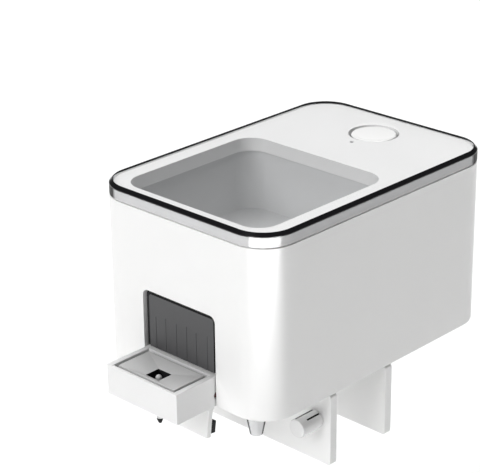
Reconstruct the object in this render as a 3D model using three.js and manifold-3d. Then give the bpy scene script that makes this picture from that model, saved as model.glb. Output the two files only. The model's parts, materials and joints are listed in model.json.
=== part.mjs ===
// Automatic fish feeder that hangs on the rim of an aquarium.
// Millimetres, +Z up. X runs across the feeder, Y from the dosing drawer at the front to the rear.
// Inside the group, Y = 0 is the front face, X = 0 the middle and Z = 0 the underside of the
// housing. The group is then moved along Y, so that the origin lies on the underside, in the
// middle of the clamp gap, where the feeder sits on the rim.
import * as THREE from 'three';
import { mergeVertices } from 'three/addons/utils/BufferGeometryUtils.js';
import Module from 'manifold-3d';

const wasm = await Module();
wasm.setup();

// ---- driving dimensions ----
const GAP = 0.3;                 // clearance between pieces that touch
const WIDTH = 90;                // housing, outside
const DEPTH = 132.4;
const BODY_TOP = 69.2;           // top edge of the white housing
const LID_TOP = 75;              // top of the clear lid
const CORNER = 14.5;             // vertical corner radius, outside
const WALL = 2.5;
const BASE_THICKNESS = 2;

const LID_SKIRT = 1.4;           // thickness of the lid's skirt
const LID_PLATE = 0.8;           // thickness of the lid's top plate
const LID_CHAMFER = 1.2;
const DECK_TOP = LID_TOP - LID_PLATE - GAP;
const DECK_FLANGE = 1.6;         // thickness of the deck's edge above the seal's groove
const SEAL = { width: 0.8, height: 1 };

const MOUTH = { x: 36.4, front: 6.5, rear: 77.8, radius: 9, collar: 1.6, bottom: 68.3 };
const HOPPER = { x: 37.2, front: 7.1, rear: 78.6, bend: 42.6, bottom: 13.8, wall: 1.8 };
const HOPPER_OUTLET = { x: 12, rear: 14.4, top: 17 };       // the neck that the slopes end in
const HOPPER_RIM = { x: 40.4, overhang: 4, radius: 11, thickness: 1.5 };

const WINDOW = { x: 19.2, top: 37, radius: 2.7 };   // opening in the front wall
const CURTAIN = { x: 21, top: 41, bottom: 13, thickness: 1, slits: 6, slit: 0.4, slitTop: 27 };
const CURTAIN_PANEL = { front: 1.2, gap: 0.4 };     // raised middle that fills the window

const DRAWER = { x: 18.7, bottom: 0.2, top: 12.6, out: 20, inside: 19, armRear: 38, armInner: 14 };
const DISH = { x: 15.4, front: -18, rear: -1.4, groove: 1, thickness: 2.4, holeX: 3.5, holeY: 3.3, y: -11 };
const DISH_STEP = { below: 0.2, depth: 1.3, border: 0.8 };  // the dish's sunk floor and its border
const RAIL = { front: 4.4, rear: 46, wall: 2.4, lip: 1.6 };
const RIB = { front: 21, rear: 37, bottom: 6.3, top: 7.7, depth: 1 };   // rail's rib in the drawer's groove
const CHUTE = 4.5;               // half width of the chute under the dish
const PIN = { radius: 1.25, bottom: -7, top: 11.1, tip: 1.3, tipBottom: -9.3 };
const PIN_BAR = { half: 0.7, bottom: 2, top: 4 };           // bar that holds the pin in the chute
const TAB = { x: 18, length: 12.6, thickness: 2.3, tilt: 7, y: -1.5, root: 0.6 };
const TAB_PAD = { height: 5, thickness: 2.4, left: 1, right: 0.4, bottom: 1.1 };
const PLUG = { y: 0.7, z: 4.6, radius: 1, depth: 1.1 };    // red stop plug in the drawer's right side

const MODULE = 1;                // gear module
const TEETH = 18;
const PRESSURE = THREE.MathUtils.degToRad(20);
const BACKLASH = 0.16;           // tooth thinning at the pitch line, each member
const EXTRA_CENTRE = 0.12;       // extra centre distance
const PITCH_RADIUS = MODULE * TEETH / 2;
const RACK_PITCH_Z = 11;
const PINION = { y: 56, z: RACK_PITCH_Z + PITCH_RADIUS + EXTRA_CENTRE, left: -7, right: -2, bore: 1.8 };
const RACK = { x: 8, rear: 66, bottom: 2.6, deck: 8.4, firstTooth: 31 };
const FLAG = { reach: 6, length: 4, inset: 1, bottom: 5, top: 6 };      // rack's flag for the sensor

const MOTOR = { width: 12, height: 10, gearboxLeft: 1, gearboxRight: 10, canRight: 25.3 };
const SHAFT_RADIUS = 1.5;
const BRACKET = { left: 2, right: 24, shelf: 0.9, cheek: 6, wall: 1.8 };
const BRACKET_LEG = { x: 21.8, thickness: 2.2, footRight: 36, foot: 2 };
const BRACKET_SCREW = { x: 31, spread: 5, hole: 1.4 };
const SENSOR = { left: 11, right: 20, front: 80, rear: 86, top: 9 };
const SENSOR_SLOT = { right: 17, bottom: 4.2, top: 6.8 };

const BUTTON = { y: 112.7, top: DECK_TOP, radius: 9.2, well: 10.4, stem: 2, travel: 0.8, cap: 3, ring: 0.9 };
const WELL = { floor: 64, floorTop: 65.8, wall: 1.6 };
const SPRING = { radius: 4.2, wire: 0.3, turns: 4, clearance: 0.25 };
const LED_Y = 98.9;
const PIPE = { radius: 1.4, tip: 0.6, bottom: 62 };

const BOARD_TOP = 57.6;          // upper face of the button's board
const BOARD = { x: 15, front: 93, rear: 121, thickness: 1.6, hole: 1.2 };
const BOARD_POSTS = [[-11.5, 98], [11.5, 98]];
const SWITCH = { half: 3, top: 61.2, plunger: 1.6, plungerTop: 62.2, plungerLength: 1.6 };
const PCB = { x: 29, y0: 88, y1: 126, z0: 10, z1: 11.6 };
const PCB_POSTS = [[-25, 92], [25, 92], [-25, 118], [25, 118]];
const RADIO = { x0: 8, x1: 24, y0: 94, y1: 118, height: 2.9 };          // shielded wireless module
const USB = { x: 4.5, z0: 12, z1: 15.2, front: 122.5, rear: 131.4, wall: 0.5 };
const USB_TONGUE = { x: 3, half: 0.35 };

const BASE_SCREWS = [[-25, 5.6], [25, 5.6], [-37.5, DEPTH - 8], [37.5, DEPTH - 8]];
const COUNTERBORE = { top: 1.5, radius: 2.7 };
const BOSS = { radius: 3.2, top: 14, hole: 1.3, depth: 9 };
const SEAT_STEP = 0.3;           // the rim seat stands this far below the rest of the base plate

const CLAMP = { front: 35.4, rear: 68.1, thickness: 3.9, bottom: -30.5, radius: 1.2 };
const CLAMP_SCREWS = [-28, 28];
const CLAMP_SCREW_HOLE = 1.5;
const KNOB = { x: 37.8, z: -12.2, radius: 3.8, length: 11, shank: 2.4, hole: 2.8, tip: 3.4, reach: 2.2 };
const NIPPLE = { x: 33.7, y: 6.4, top: 4, tip: 2.5, length: 7.9, bore: 0.9, neck: 0.7, barb: 1.1 };
const NIPPLE_BARB_TOP = 10;

const RIM_CENTRE = (CLAMP.front + CLAMP.thickness + CLAMP.rear) / 2;

// ---- materials ----
const paint = (color, roughness, metalness = 0) => () =>
  new THREE.MeshStandardMaterial({ color, roughness, metalness });
const white = paint(0xf2f2f0, 0.35);
const softWhite = paint(0xe2e3e3, 0.5);
const clear = () => new THREE.MeshStandardMaterial({
  color: 0xdfe6e8, roughness: 0.05, metalness: 0, transparent: true, opacity: 0.35,
});
const black = paint(0x111112, 0.6);
const darkGrey = paint(0x4b4c4e, 0.8);
const seal = paint(0xdcddde, 0.6);
const red = paint(0x6a1417, 0.5);
const steel = paint(0x9c9ea0, 0.3, 0.9);
const brass = paint(0xb59b5a, 0.35, 0.9);
const greenBoard = paint(0x1c5a35, 0.5);
const naturalPlastic = paint(0xd9d6c8, 0.5);

// ---- solids ----
function toSolid(geometry) {
  const bare = geometry.clone();
  bare.deleteAttribute('normal');
  bare.deleteAttribute('uv');
  const merged = mergeVertices(bare, 1e-4);
  return new wasm.Manifold(new wasm.Mesh({
    numProp: 3,
    vertProperties: new Float32Array(merged.attributes.position.array),
    triVerts: new Uint32Array(merged.index.array),
  }));
}

function toGeometry(solid) {
  const mesh = solid.getMesh();
  const geometry = new THREE.BufferGeometry();
  geometry.setAttribute('position', new THREE.BufferAttribute(mesh.vertProperties, 3));
  geometry.setIndex(new THREE.BufferAttribute(mesh.triVerts, 1));
  return geometry;
}

function cut(base, ...tools) {
  return toGeometry(tools.reduce((solid, tool) => solid.subtract(toSolid(tool)), toSolid(base)));
}

function join(base, ...others) {
  return toGeometry(others.reduce((solid, other) => solid.add(toSolid(other)), toSolid(base)));
}

function common(base, ...others) {
  return toGeometry(others.reduce((solid, other) => solid.intersect(toSolid(other)), toSolid(base)));
}

// ---- shapes ----
function box(x0, x1, y0, y1, z0, z1) {
  return new THREE.BoxGeometry(x1 - x0, y1 - y0, z1 - z0)
    .translate((x0 + x1) / 2, (y0 + y1) / 2, (z0 + z1) / 2);
}

// A rectangle with round corners, from (x0, y0) to (x1, y1).
function roundRect(x0, x1, y0, y1, radius, Kind = THREE.Shape) {
  const outline = new Kind();
  outline.moveTo(x0 + radius, y0);
  outline.lineTo(x1 - radius, y0);
  outline.absarc(x1 - radius, y0 + radius, radius, -Math.PI / 2, 0);
  outline.absarc(x1 - radius, y1 - radius, radius, 0, Math.PI / 2);
  outline.absarc(x0 + radius, y1 - radius, radius, Math.PI / 2, Math.PI);
  outline.absarc(x0 + radius, y0 + radius, radius, Math.PI, Math.PI * 1.5);
  return outline;
}

function extrude(shape, z0, z1, curveSegments = 8) {
  return new THREE.ExtrudeGeometry(shape, { depth: z1 - z0, bevelEnabled: false, curveSegments })
    .translate(0, 0, z0);
}

function polygon(points) {
  return new THREE.Shape(points.map(([x, y]) => new THREE.Vector2(x, y)));
}

// The housing's outline, moved inwards by `inset`.
function outline(inset, z0, z1) {
  const half = WIDTH / 2 - inset;
  return extrude(roundRect(-half, half, inset, DEPTH - inset, CORNER - inset), z0, z1);
}

// The hopper mouth's outline, grown by `grow`.
function mouth(grow, z0, z1) {
  const half = MOUTH.x + grow;
  return extrude(
    roundRect(-half, half, MOUTH.front - grow, MOUTH.rear + grow, MOUTH.radius + grow), z0, z1,
  );
}

// A profile in Y and Z, swept along X.
function sweepX(points, x0, x1) {
  return extrude(polygon(points), x0, x1).rotateX(Math.PI / 2).rotateZ(Math.PI / 2);
}

// A profile in X and Z, swept along Y.
function sweepY(points, y0, y1) {
  return extrude(polygon(points), -y1, -y0).rotateX(Math.PI / 2);
}

function rod(radius, z0, z1, x = 0, y = 0, segments = 20, endRadius = radius) {
  return new THREE.CylinderGeometry(endRadius, radius, z1 - z0, segments)
    .rotateX(Math.PI / 2)
    .translate(x, y, (z0 + z1) / 2);
}

function rodX(radius, x0, x1, y, z, segments = 20) {
  return new THREE.CylinderGeometry(radius, radius, x1 - x0, segments)
    .rotateZ(-Math.PI / 2)
    .translate((x0 + x1) / 2, y, z);
}

function rodY(radius, y0, y1, x, z, segments = 20) {
  return new THREE.CylinderGeometry(radius, radius, y1 - y0, segments)
    .translate(x, (y0 + y1) / 2, z);
}

// A closed profile of (radius, height) pairs, turned about the vertical axis.
function turn(profile, segments = 24) {
  const points = profile.map(([r, z]) => new THREE.Vector2(r, z));
  return new THREE.LatheGeometry(points, segments).rotateX(Math.PI / 2);
}

// A frustum between two rectangles [x half, y half, y centre] at two heights.
function frustum([ax, ay, aCentre], z0, [bx, by, bCentre], z1) {
  const shape = new THREE.BoxGeometry(2, 2, 2);
  const place = shape.attributes.position;
  for (let i = 0; i < place.count; i += 1) {
    const upper = place.getZ(i) > 0;
    const half = upper ? [bx, by, bCentre] : [ax, ay, aCentre];
    place.setXYZ(i, place.getX(i) * half[0], half[2] + place.getY(i) * half[1], upper ? z1 : z0);
  }
  return shape;
}

// ---- the assembly ----
const feeder = new THREE.Group();
feeder.name = 'fish_feeder';
feeder.position.y = -RIM_CENTRE;

function group(parent = feeder) {
  const made = new THREE.Group();
  parent.add(made);
  return made;
}

function put(parent, name, geometry, material) {
  const mesh = new THREE.Mesh(geometry, material());
  mesh.name = name;
  parent.add(mesh);
  return mesh;
}

// A pan-head screw, pointing down, with its seat at Z = 0.
function screw(headRadius, headHeight, shankRadius, length) {
  return turn([
    [0, -length],
    [shankRadius * 0.6, -length],
    [shankRadius, -length + shankRadius],
    [shankRadius, 0],
    [headRadius, 0],
    [headRadius, headHeight * 0.6],
    [headRadius * 0.6, headHeight],
    [0, headHeight],
  ], 12);
}

// ---- housing ----
function bodyShell() {
  const walls = cut(outline(0, 0, BODY_TOP), outline(WALL, -1, BODY_TOP + 1));
  const bosses = BASE_SCREWS.map(([x, y]) => rod(BOSS.radius, BASE_THICKNESS + GAP, BOSS.top, x, y, 16));
  const trimmed = common(join(bosses[0], ...bosses.slice(1)), outline(WALL / 2, 0, BODY_TOP));
  const holes = BASE_SCREWS.map(([x, y]) => rod(BOSS.hole, 0, BASE_THICKNESS + BOSS.depth, x, y, 12));
  const opening = extrude(
    roundRect(-WINDOW.x, WINDOW.x, -WINDOW.top, WINDOW.top, WINDOW.radius), -WALL * 2, WALL * 2, 4,
  ).rotateX(Math.PI / 2);
  const usbHole = box(
    -USB.x - GAP, USB.x + GAP, DEPTH - WALL - 1, DEPTH + 1, USB.z0 - GAP, USB.z1 + GAP,
  );
  return cut(join(walls, trimmed), ...holes, opening, usbHole);
}

function basePlate() {
  const plate = outline(WALL + GAP, SEAT_STEP, BASE_THICKNESS);
  const seatHalf = WIDTH / 2 - WALL - 2 * GAP;
  const seat = box(
    -seatHalf, seatHalf, CLAMP.front + CLAMP.thickness + 2 * GAP, CLAMP.rear - 2 * GAP, 0, BASE_THICKNESS - 1,
  );
  const slotHalf = DRAWER.x + 3 * GAP;
  const slot = box(-slotHalf, slotHalf, -1, DRAWER.out + DRAWER.inside + 2 * GAP, -1, 3);
  const holes = BASE_SCREWS.map(([x, y]) => rod(BOSS.hole + 0.2, -1, 3, x, y, 12));
  holes.push(...BASE_SCREWS.map(([x, y]) => rod(COUNTERBORE.radius, -1, COUNTERBORE.top, x, y, 16)));
  for (const x of CLAMP_SCREWS) {
    holes.push(rod(CLAMP_SCREW_HOLE, -1, 3, x, CLAMP.front + CLAMP.thickness / 2, 12));
    holes.push(rod(CLAMP_SCREW_HOLE, -1, 3, x, CLAMP.rear + CLAMP.thickness / 2, 12));
  }
  holes.push(rod(NIPPLE.bore + 1, -1, 3, NIPPLE.x, NIPPLE.y, 12));
  const posts = PCB_POSTS.map(([x, y]) => rod(2.5, 1, PCB.z0 - GAP, x, y, 12));
  return cut(join(plate, seat, ...posts), slot, ...holes);
}

function topDeck() {
  const edge = LID_SKIRT + GAP;
  const lower = outline(edge + SEAL.width + GAP, BODY_TOP + GAP, DECK_TOP);
  const upper = outline(edge, DECK_TOP - DECK_FLANGE, DECK_TOP);
  const lip = outline(WALL + GAP, BODY_TOP - 4, BODY_TOP + 2 * GAP);
  const lipInside = outline(WALL + GAP + 1, BODY_TOP - 5, BODY_TOP + GAP);
  const collar = mouth(MOUTH.collar, MOUTH.bottom, DECK_TOP);
  const posts = BOARD_POSTS.map(([x, y]) => rod(2, BOARD_TOP + GAP, DECK_TOP - 1, x, y, 12));
  const plate = join(cut(lip, lipInside), lower, upper, collar, ...posts);
  const tools = [
    mouth(0, MOUTH.bottom - 1, DECK_TOP + 1),
    rod(BUTTON.well, BODY_TOP - 1, DECK_TOP + 1, 0, BUTTON.y, 32),
    rod(PIPE.tip + GAP, BODY_TOP - 1, DECK_TOP + 1, 0, LED_Y, 12),
  ];
  for (const [x, y] of BOARD_POSTS) {
    tools.push(rod(0.9, BOARD_TOP, BOARD_TOP + 6, x, y, 8));
  }
  return cut(plate, ...tools);
}

function lidCover() {
  const slab = outline(0, BODY_TOP + GAP, LID_TOP - LID_CHAMFER);
  const half = WIDTH / 2;
  const bevel = new THREE.ExtrudeGeometry(
    roundRect(
      -half + LID_CHAMFER, half - LID_CHAMFER, LID_CHAMFER, DEPTH - LID_CHAMFER, CORNER - LID_CHAMFER,
    ),
    { depth: 0.2, curveSegments: 8, bevelThickness: LID_CHAMFER, bevelSize: LID_CHAMFER, bevelSegments: 1 },
  ).translate(0, 0, LID_TOP - LID_CHAMFER - 0.2);
  return cut(
    join(slab, bevel),
    outline(LID_SKIRT, BODY_TOP - 1, LID_TOP - LID_PLATE),
    rod(BUTTON.well, LID_TOP - 4, LID_TOP + 1, 0, BUTTON.y, 32),
  );
}

// A ring in the groove under the deck's flange; it closes the gap to the lid's skirt.
function rimSeal() {
  const inset = LID_SKIRT + GAP;
  const top = DECK_TOP - DECK_FLANGE - GAP;
  const ring = outline(inset, top - SEAL.height, top);
  return cut(ring, outline(inset + SEAL.width, BODY_TOP, DECK_TOP));
}

// The hopper's inside, grown by `grow` on every wall.
function hopperSpace(grow, top, bottom) {
  const side = [
    [HOPPER.front - grow, bottom], [HOPPER_OUTLET.rear + grow, bottom],
    [HOPPER_OUTLET.rear + grow, HOPPER_OUTLET.top - grow], [HOPPER.rear + grow, HOPPER.bend - grow],
    [HOPPER.rear + grow, top], [HOPPER.front - grow, top],
  ];
  const front = [
    [-HOPPER_OUTLET.x - grow, bottom], [HOPPER_OUTLET.x + grow, bottom],
    [HOPPER_OUTLET.x + grow, HOPPER_OUTLET.top - grow], [HOPPER.x + grow, HOPPER.bend - grow],
    [HOPPER.x + grow, top], [-HOPPER.x - grow, top],
    [-HOPPER.x - grow, HOPPER.bend - grow], [-HOPPER_OUTLET.x - grow, HOPPER_OUTLET.top - grow],
  ];
  const radius = MOUTH.radius + grow;
  const half = HOPPER.x + grow;
  return common(
    sweepX(side, -WIDTH / 2, WIDTH / 2),
    sweepY(front, 0, DEPTH),
    extrude(roundRect(-half, half, HOPPER.front - grow, HOPPER.rear + grow, radius), 0, top),
  );
}

function hopper() {
  const top = MOUTH.bottom - GAP;
  const rimShape = roundRect(
    -HOPPER_RIM.x, HOPPER_RIM.x,
    HOPPER.front - HOPPER.wall, HOPPER.rear + HOPPER_RIM.overhang, HOPPER_RIM.radius,
  );
  const rim = extrude(rimShape, top - HOPPER_RIM.thickness, top);
  const shell = join(hopperSpace(HOPPER.wall, top, HOPPER.bottom), rim);
  return cut(shell, hopperSpace(0, top + 1, HOPPER.bottom - 1));
}

function curtain() {
  const front = WALL + GAP;
  const rear = front + CURTAIN.thickness;
  const flange = box(-CURTAIN.x, CURTAIN.x, front, rear, CURTAIN.bottom, CURTAIN.top);
  const half = WINDOW.x - CURTAIN_PANEL.gap;
  const top = WINDOW.top - CURTAIN_PANEL.gap;
  const shape = roundRect(-half, half, -top, top, WINDOW.radius - CURTAIN_PANEL.gap);
  const filling = extrude(shape, -rear, -CURTAIN_PANEL.front, 4).rotateX(Math.PI / 2);
  const panel = common(filling, box(-half, half, 0, rear, CURTAIN.bottom, top));
  const pitch = 2 * WINDOW.x / (CURTAIN.slits + 1);
  const slits = [];
  for (let i = 1; i <= CURTAIN.slits; i += 1) {
    const x = -WINDOW.x + pitch * i;
    slits.push(box(x - CURTAIN.slit / 2, x + CURTAIN.slit / 2, 0, 9, 0, CURTAIN.slitTop));
  }
  return cut(join(flange, panel), ...slits);
}

// An upright guide beside the drawer: wall, lip over the drawer and rib in the drawer's groove.
function guideRail(side) {
  const inner = DRAWER.x + GAP;
  const lipBottom = DRAWER.top + GAP;
  const top = lipBottom + RAIL.lip;
  const wall = box(inner, inner + RAIL.wall, RAIL.front, RAIL.rear, BASE_THICKNESS + GAP, top);
  const lip = box(inner - RAIL.lip, inner + RAIL.wall, RAIL.front, RAIL.rear, lipBottom, top);
  const rib = box(inner - RIB.depth, inner + RAIL.wall, RIB.front, RIB.rear, RIB.bottom, RIB.top);
  const rail = join(wall, lip, rib);
  return side > 0 ? rail : toGeometry(toSolid(rail).mirror([1, 0, 0]));
}

function airNipple() {
  const top = -GAP;
  const floor = -NIPPLE.length - GAP;
  const barbBottom = NIPPLE_BARB_TOP - 3;
  return turn([
    [NIPPLE.bore, floor],
    [NIPPLE.tip, floor],
    [NIPPLE.top, top],
    [NIPPLE.bore + NIPPLE.neck, top],
    [NIPPLE.bore + NIPPLE.neck, barbBottom],
    [NIPPLE.bore + NIPPLE.barb, barbBottom],
    [NIPPLE.bore + NIPPLE.barb / 2, NIPPLE_BARB_TOP],
    [NIPPLE.bore, NIPPLE_BARB_TOP],
    [NIPPLE.bore, floor],
  ], 20);
}

// ---- dosing drawer ----
function drawerBox() {
  const block = box(-DRAWER.x, DRAWER.x, -DRAWER.out, DRAWER.inside, DRAWER.bottom, DRAWER.top);
  const arms = [-1, 1].map((side) => {
    const xs = [side * DRAWER.armInner, side * DRAWER.x].sort((a, b) => a - b);
    return box(xs[0], xs[1], DRAWER.inside - 1, DRAWER.armRear, BASE_THICKNESS + 0.4, DRAWER.top);
  });
  const grooves = [-1, 1].map((side) => {
    const xs = [side * (DRAWER.x - 1), side * (DRAWER.x + 1)].sort((a, b) => a - b);
    return box(xs[0], xs[1], 2 * GAP, DRAWER.armRear + 1, RIB.bottom - GAP, RIB.top + GAP);
  });
  const pocketFloor = DRAWER.top - DISH.thickness - GAP;
  const pocket = box(
    -DISH.x - DISH.groove, DISH.x + DISH.groove,
    DISH.front - DISH.groove, DISH.rear + DISH.groove,
    pocketFloor, DRAWER.top + 1,
  );
  const chute = box(-CHUTE, CHUTE, DISH.y - CHUTE, DISH.y + CHUTE, -1, DRAWER.top);
  const plug = rodX(PLUG.radius + GAP, DRAWER.x - PLUG.depth - GAP, DRAWER.x + 1, PLUG.y, PLUG.z, 12);
  return cut(join(block, ...arms), ...grooves, pocket, chute, plug);
}

function drawerDish() {
  const top = DRAWER.top - DISH_STEP.below;
  const plate = box(-DISH.x, DISH.x, DISH.front, DISH.rear, DRAWER.top - DISH.thickness, top);
  const middle = (DISH.front + DISH.rear) / 2;
  const half = (DISH.rear - DISH.front) / 2;
  const holeTop = top - DISH_STEP.depth;
  const border = DISH_STEP.border;
  const pit = frustum(
    [DISH.holeX, DISH.holeY, DISH.y], holeTop, [DISH.x - border, half - border, middle], top + 0.001,
  );
  const hole = box(
    -DISH.holeX, DISH.holeX, DISH.y - DISH.holeY, DISH.y + DISH.holeY, DRAWER.top - 9, holeTop + 0.01,
  );
  return cut(plate, pit, hole);
}

// A round-headed pin on a bar that spans the chute.
function dropPin() {
  const stem = turn([
    [0, PIN.bottom], [PIN.radius, PIN.bottom], [PIN.radius, PIN.top - 1.3],
    [PIN.radius * 0.76, PIN.top - 0.5], [PIN.radius * 0.36, PIN.top - 0.1], [0, PIN.top],
  ], 14).translate(0, DISH.y, 0);
  const bar = box(
    -CHUTE + GAP, CHUTE - GAP, DISH.y - PIN_BAR.half, DISH.y + PIN_BAR.half, PIN_BAR.bottom, PIN_BAR.top,
  );
  return join(stem, bar);
}

function pinTip() {
  const top = PIN.bottom - GAP;
  return turn([
    [0, PIN.tipBottom], [0.6, PIN.tipBottom + 0.2], [PIN.tip, top], [0, top],
  ], 14).translate(0, DISH.y, 0);
}

// The tab hangs from its top edge at Y = 0, Z = 0; its mesh is then tilted and placed.
function hangingTab() {
  const half = TAB.thickness / 2;
  const plate = box(-TAB.x, TAB.x, -half, half, -TAB.length, -0.4);
  const root = box(-TAB.x, TAB.x, -half - TAB.root, half + TAB.root, -1.4, -0.4);
  return join(plate, root);
}

function tabPad() {
  const front = TAB.thickness / 2 + GAP;
  const rear = front + TAB_PAD.thickness;
  const bottom = -TAB.length + TAB_PAD.bottom;
  return box(-TAB.x + TAB_PAD.left, TAB.x - TAB_PAD.right, front, rear, bottom, bottom + TAB_PAD.height);
}

function drawerRack() {
  const bar = box(-RACK.x, RACK.x, DRAWER.inside + GAP, RACK.rear, RACK.bottom, RACK.deck);
  const flagRear = RACK.rear - FLAG.inset;
  const flag = box(
    RACK.x - 1, RACK.x + FLAG.reach, flagRear - FLAG.length, flagRear, FLAG.bottom, FLAG.top,
  );
  const root = RACK_PITCH_Z - 1.25 * MODULE;
  const tip = RACK_PITCH_Z + MODULE;
  const pitch = Math.PI * MODULE;
  const half = pitch / 4 - BACKLASH / 2;
  const slope = Math.tan(PRESSURE);
  const rootHalf = half + 1.25 * MODULE * slope;
  const tipHalf = half - MODULE * slope;
  const first = Math.ceil((RACK.firstTooth - PINION.y) / pitch);
  const last = Math.floor((RACK.rear - rootHalf - PINION.y) / pitch);
  const profile = [[PINION.y + first * pitch - rootHalf, RACK.deck - 0.5]];
  for (let i = first; i <= last; i += 1) {
    const centre = PINION.y + i * pitch;
    profile.push([centre - rootHalf, root]);
    profile.push([centre - tipHalf, tip]);
    profile.push([centre + tipHalf, tip]);
    profile.push([centre + rootHalf, root]);
  }
  profile.push([PINION.y + last * pitch + rootHalf, RACK.deck - 0.5]);
  const teeth = sweepX(profile, PINION.left - 0.4, PINION.right + 0.4);
  return join(bar, teeth, flag);
}

// ---- drive ----
// An involute spur gear's outline, with a tooth space pointing at -Z of the finished pinion.
function pinionOutline() {
  const base = PITCH_RADIUS * Math.cos(PRESSURE);
  const tip = PITCH_RADIUS + MODULE;
  const root = PITCH_RADIUS - 1.25 * MODULE;
  const involute = (radius) => {
    const t = Math.sqrt(Math.max((radius / base) ** 2 - 1, 0));
    return t - Math.atan(t);
  };
  const halfAngle = Math.PI / (2 * TEETH) - BACKLASH / (2 * PITCH_RADIUS) + involute(PITCH_RADIUS);
  const steps = 4;
  const flank = [];
  for (let i = 0; i <= steps; i += 1) {
    const radius = base + (tip - base) * i / steps;
    flank.push([radius, halfAngle - involute(radius)]);
  }
  const points = [];
  for (let tooth = 0; tooth < TEETH; tooth += 1) {
    const centre = (tooth + 0.5) * 2 * Math.PI / TEETH - Math.PI / 2;
    const polar = (radius, angle) => points.push([radius * Math.cos(angle), radius * Math.sin(angle)]);
    polar(root, centre - halfAngle - 0.01);
    flank.forEach(([radius, angle]) => polar(radius, centre - angle));
    [...flank].reverse().forEach(([radius, angle]) => polar(radius, centre + angle));
    polar(root, centre + halfAngle + 0.01);
  }
  return points;
}

function drivePinion() {
  const gear = sweepX(pinionOutline(), PINION.left, PINION.right);
  return cut(gear, rodX(PINION.bore, PINION.left - 1, PINION.right + 1, 0, 0, 20));
}

// The gearbox output shaft has a flat along it.
function gearboxShaft() {
  const shaft = rodX(SHAFT_RADIUS, PINION.left - 0.8, MOTOR.gearboxLeft + 1.4, 0, 0, 20);
  return cut(shaft, box(PINION.left - 2, PINION.right + 0.5, -3, 3, 1.1, 4));
}

function gearboxCase() {
  const half = MOTOR.width / 2;
  const high = MOTOR.height / 2;
  const block = box(MOTOR.gearboxLeft, MOTOR.gearboxRight, -half, half, -high, high);
  const bore = rodX(SHAFT_RADIUS + GAP, MOTOR.gearboxLeft - 1, MOTOR.gearboxLeft + 1.8, 0, 0, 20);
  return cut(block, bore);
}

function motorCan() {
  const half = MOTOR.width / 2;
  const high = MOTOR.height / 2;
  const flats = box(MOTOR.gearboxRight + GAP, MOTOR.canRight, -half, half, -high, high);
  const round = rodX(half, MOTOR.gearboxRight + GAP, MOTOR.canRight, 0, 0, 28);
  const boss = rodX(2.4, MOTOR.canRight - 1, MOTOR.canRight + 1, 0, 0, 16);
  return join(common(flats, round), boss);
}

const BRACKET_SCREWS = [PINION.y - BRACKET_SCREW.spread, PINION.y + BRACKET_SCREW.spread];

// A shelf with two cheeks that cradle the motor, on a leg and foot beside the drawer.
function motorBracket() {
  const inner0 = PINION.y - MOTOR.width / 2 - GAP;
  const inner1 = PINION.y + MOTOR.width / 2 + GAP;
  const outer0 = inner0 - BRACKET.wall;
  const outer1 = inner1 + BRACKET.wall;
  const shelfTop = PINION.z - MOTOR.height / 2 - GAP;
  const shelfBottom = shelfTop - BRACKET.shelf;
  const cheekTop = shelfTop + BRACKET.cheek;
  const floor = BASE_THICKNESS + GAP;
  const shelf = box(BRACKET.left, BRACKET.right, outer0, outer1, shelfBottom, shelfTop);
  const cheeks = [
    box(BRACKET.left, BRACKET.right, outer0, inner0, shelfBottom, cheekTop),
    box(BRACKET.left, BRACKET.right, inner1, outer1, shelfBottom, cheekTop),
  ];
  const leg = box(BRACKET_LEG.x, BRACKET_LEG.x + BRACKET_LEG.thickness, outer0, outer1, floor, shelfTop);
  const foot = box(BRACKET_LEG.x, BRACKET_LEG.footRight, outer0, outer1, floor, floor + BRACKET_LEG.foot);
  const holes = BRACKET_SCREWS.map((y) => rod(BRACKET_SCREW.hole, 0, 9, BRACKET_SCREW.x, y, 12));
  return cut(join(shelf, ...cheeks, leg, foot), ...holes);
}

// A slotted optical sensor that sees the rack's flag when the drawer is home.
function positionSensor() {
  const { left, right, front, rear, top } = SENSOR;
  const body = box(left, right, front, rear, BASE_THICKNESS + GAP, top);
  const slot = box(left - 1, SENSOR_SLOT.right, front - 1, rear + 1, SENSOR_SLOT.bottom, SENSOR_SLOT.top);
  return cut(body, slot);
}

// ---- electronics ----
function usbSocket() {
  const { x, z0, z1, front, rear, wall } = USB;
  const shell = box(-x, x, front, rear, z0, z1);
  const inside = box(-x + wall, x - wall, front + 2, rear + 1, z0 + wall, z1 - wall);
  const middle = (z0 + z1) / 2;
  const tongue = box(
    -USB_TONGUE.x, USB_TONGUE.x, front + 1, rear - 0.6, middle - USB_TONGUE.half, middle + USB_TONGUE.half,
  );
  return join(cut(shell, inside), tongue);
}

function buttonBoard() {
  const bottom = BOARD_TOP - BOARD.thickness;
  const board = box(-BOARD.x, BOARD.x, BOARD.front, BOARD.rear, bottom, BOARD_TOP);
  const holes = BOARD_POSTS.map(([x, y]) => rod(BOARD.hole, bottom - 1, BOARD_TOP + 1, x, y, 10));
  return cut(board, ...holes);
}

function tactSwitch() {
  const { half, top, plunger, plungerTop, plungerLength } = SWITCH;
  const body = box(-half, half, -half, half, BOARD_TOP + GAP, top);
  const floor = plungerTop - plungerLength - BUTTON.travel - 0.2;
  return cut(body, rod(plunger + GAP, floor, top + 1, 0, 0, 16));
}

function switchPlunger() {
  return rod(SWITCH.plunger, SWITCH.plungerTop - SWITCH.plungerLength, SWITCH.plungerTop, 0, 0, 16);
}

function statusLed() {
  const z = BOARD_TOP + GAP;
  return turn([[0, z], [1.5, z], [1.5, z + 2.4], [1.1, z + 3.3], [0, z + 3.7]], 14);
}

function lightPipe() {
  return turn([
    [0, PIPE.bottom], [PIPE.radius, PIPE.bottom], [PIPE.radius, BODY_TOP - 0.4], [PIPE.tip, BODY_TOP + 0.1],
    [PIPE.tip, DECK_TOP - 0.1], [0, DECK_TOP - 0.1],
  ], 14);
}

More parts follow.
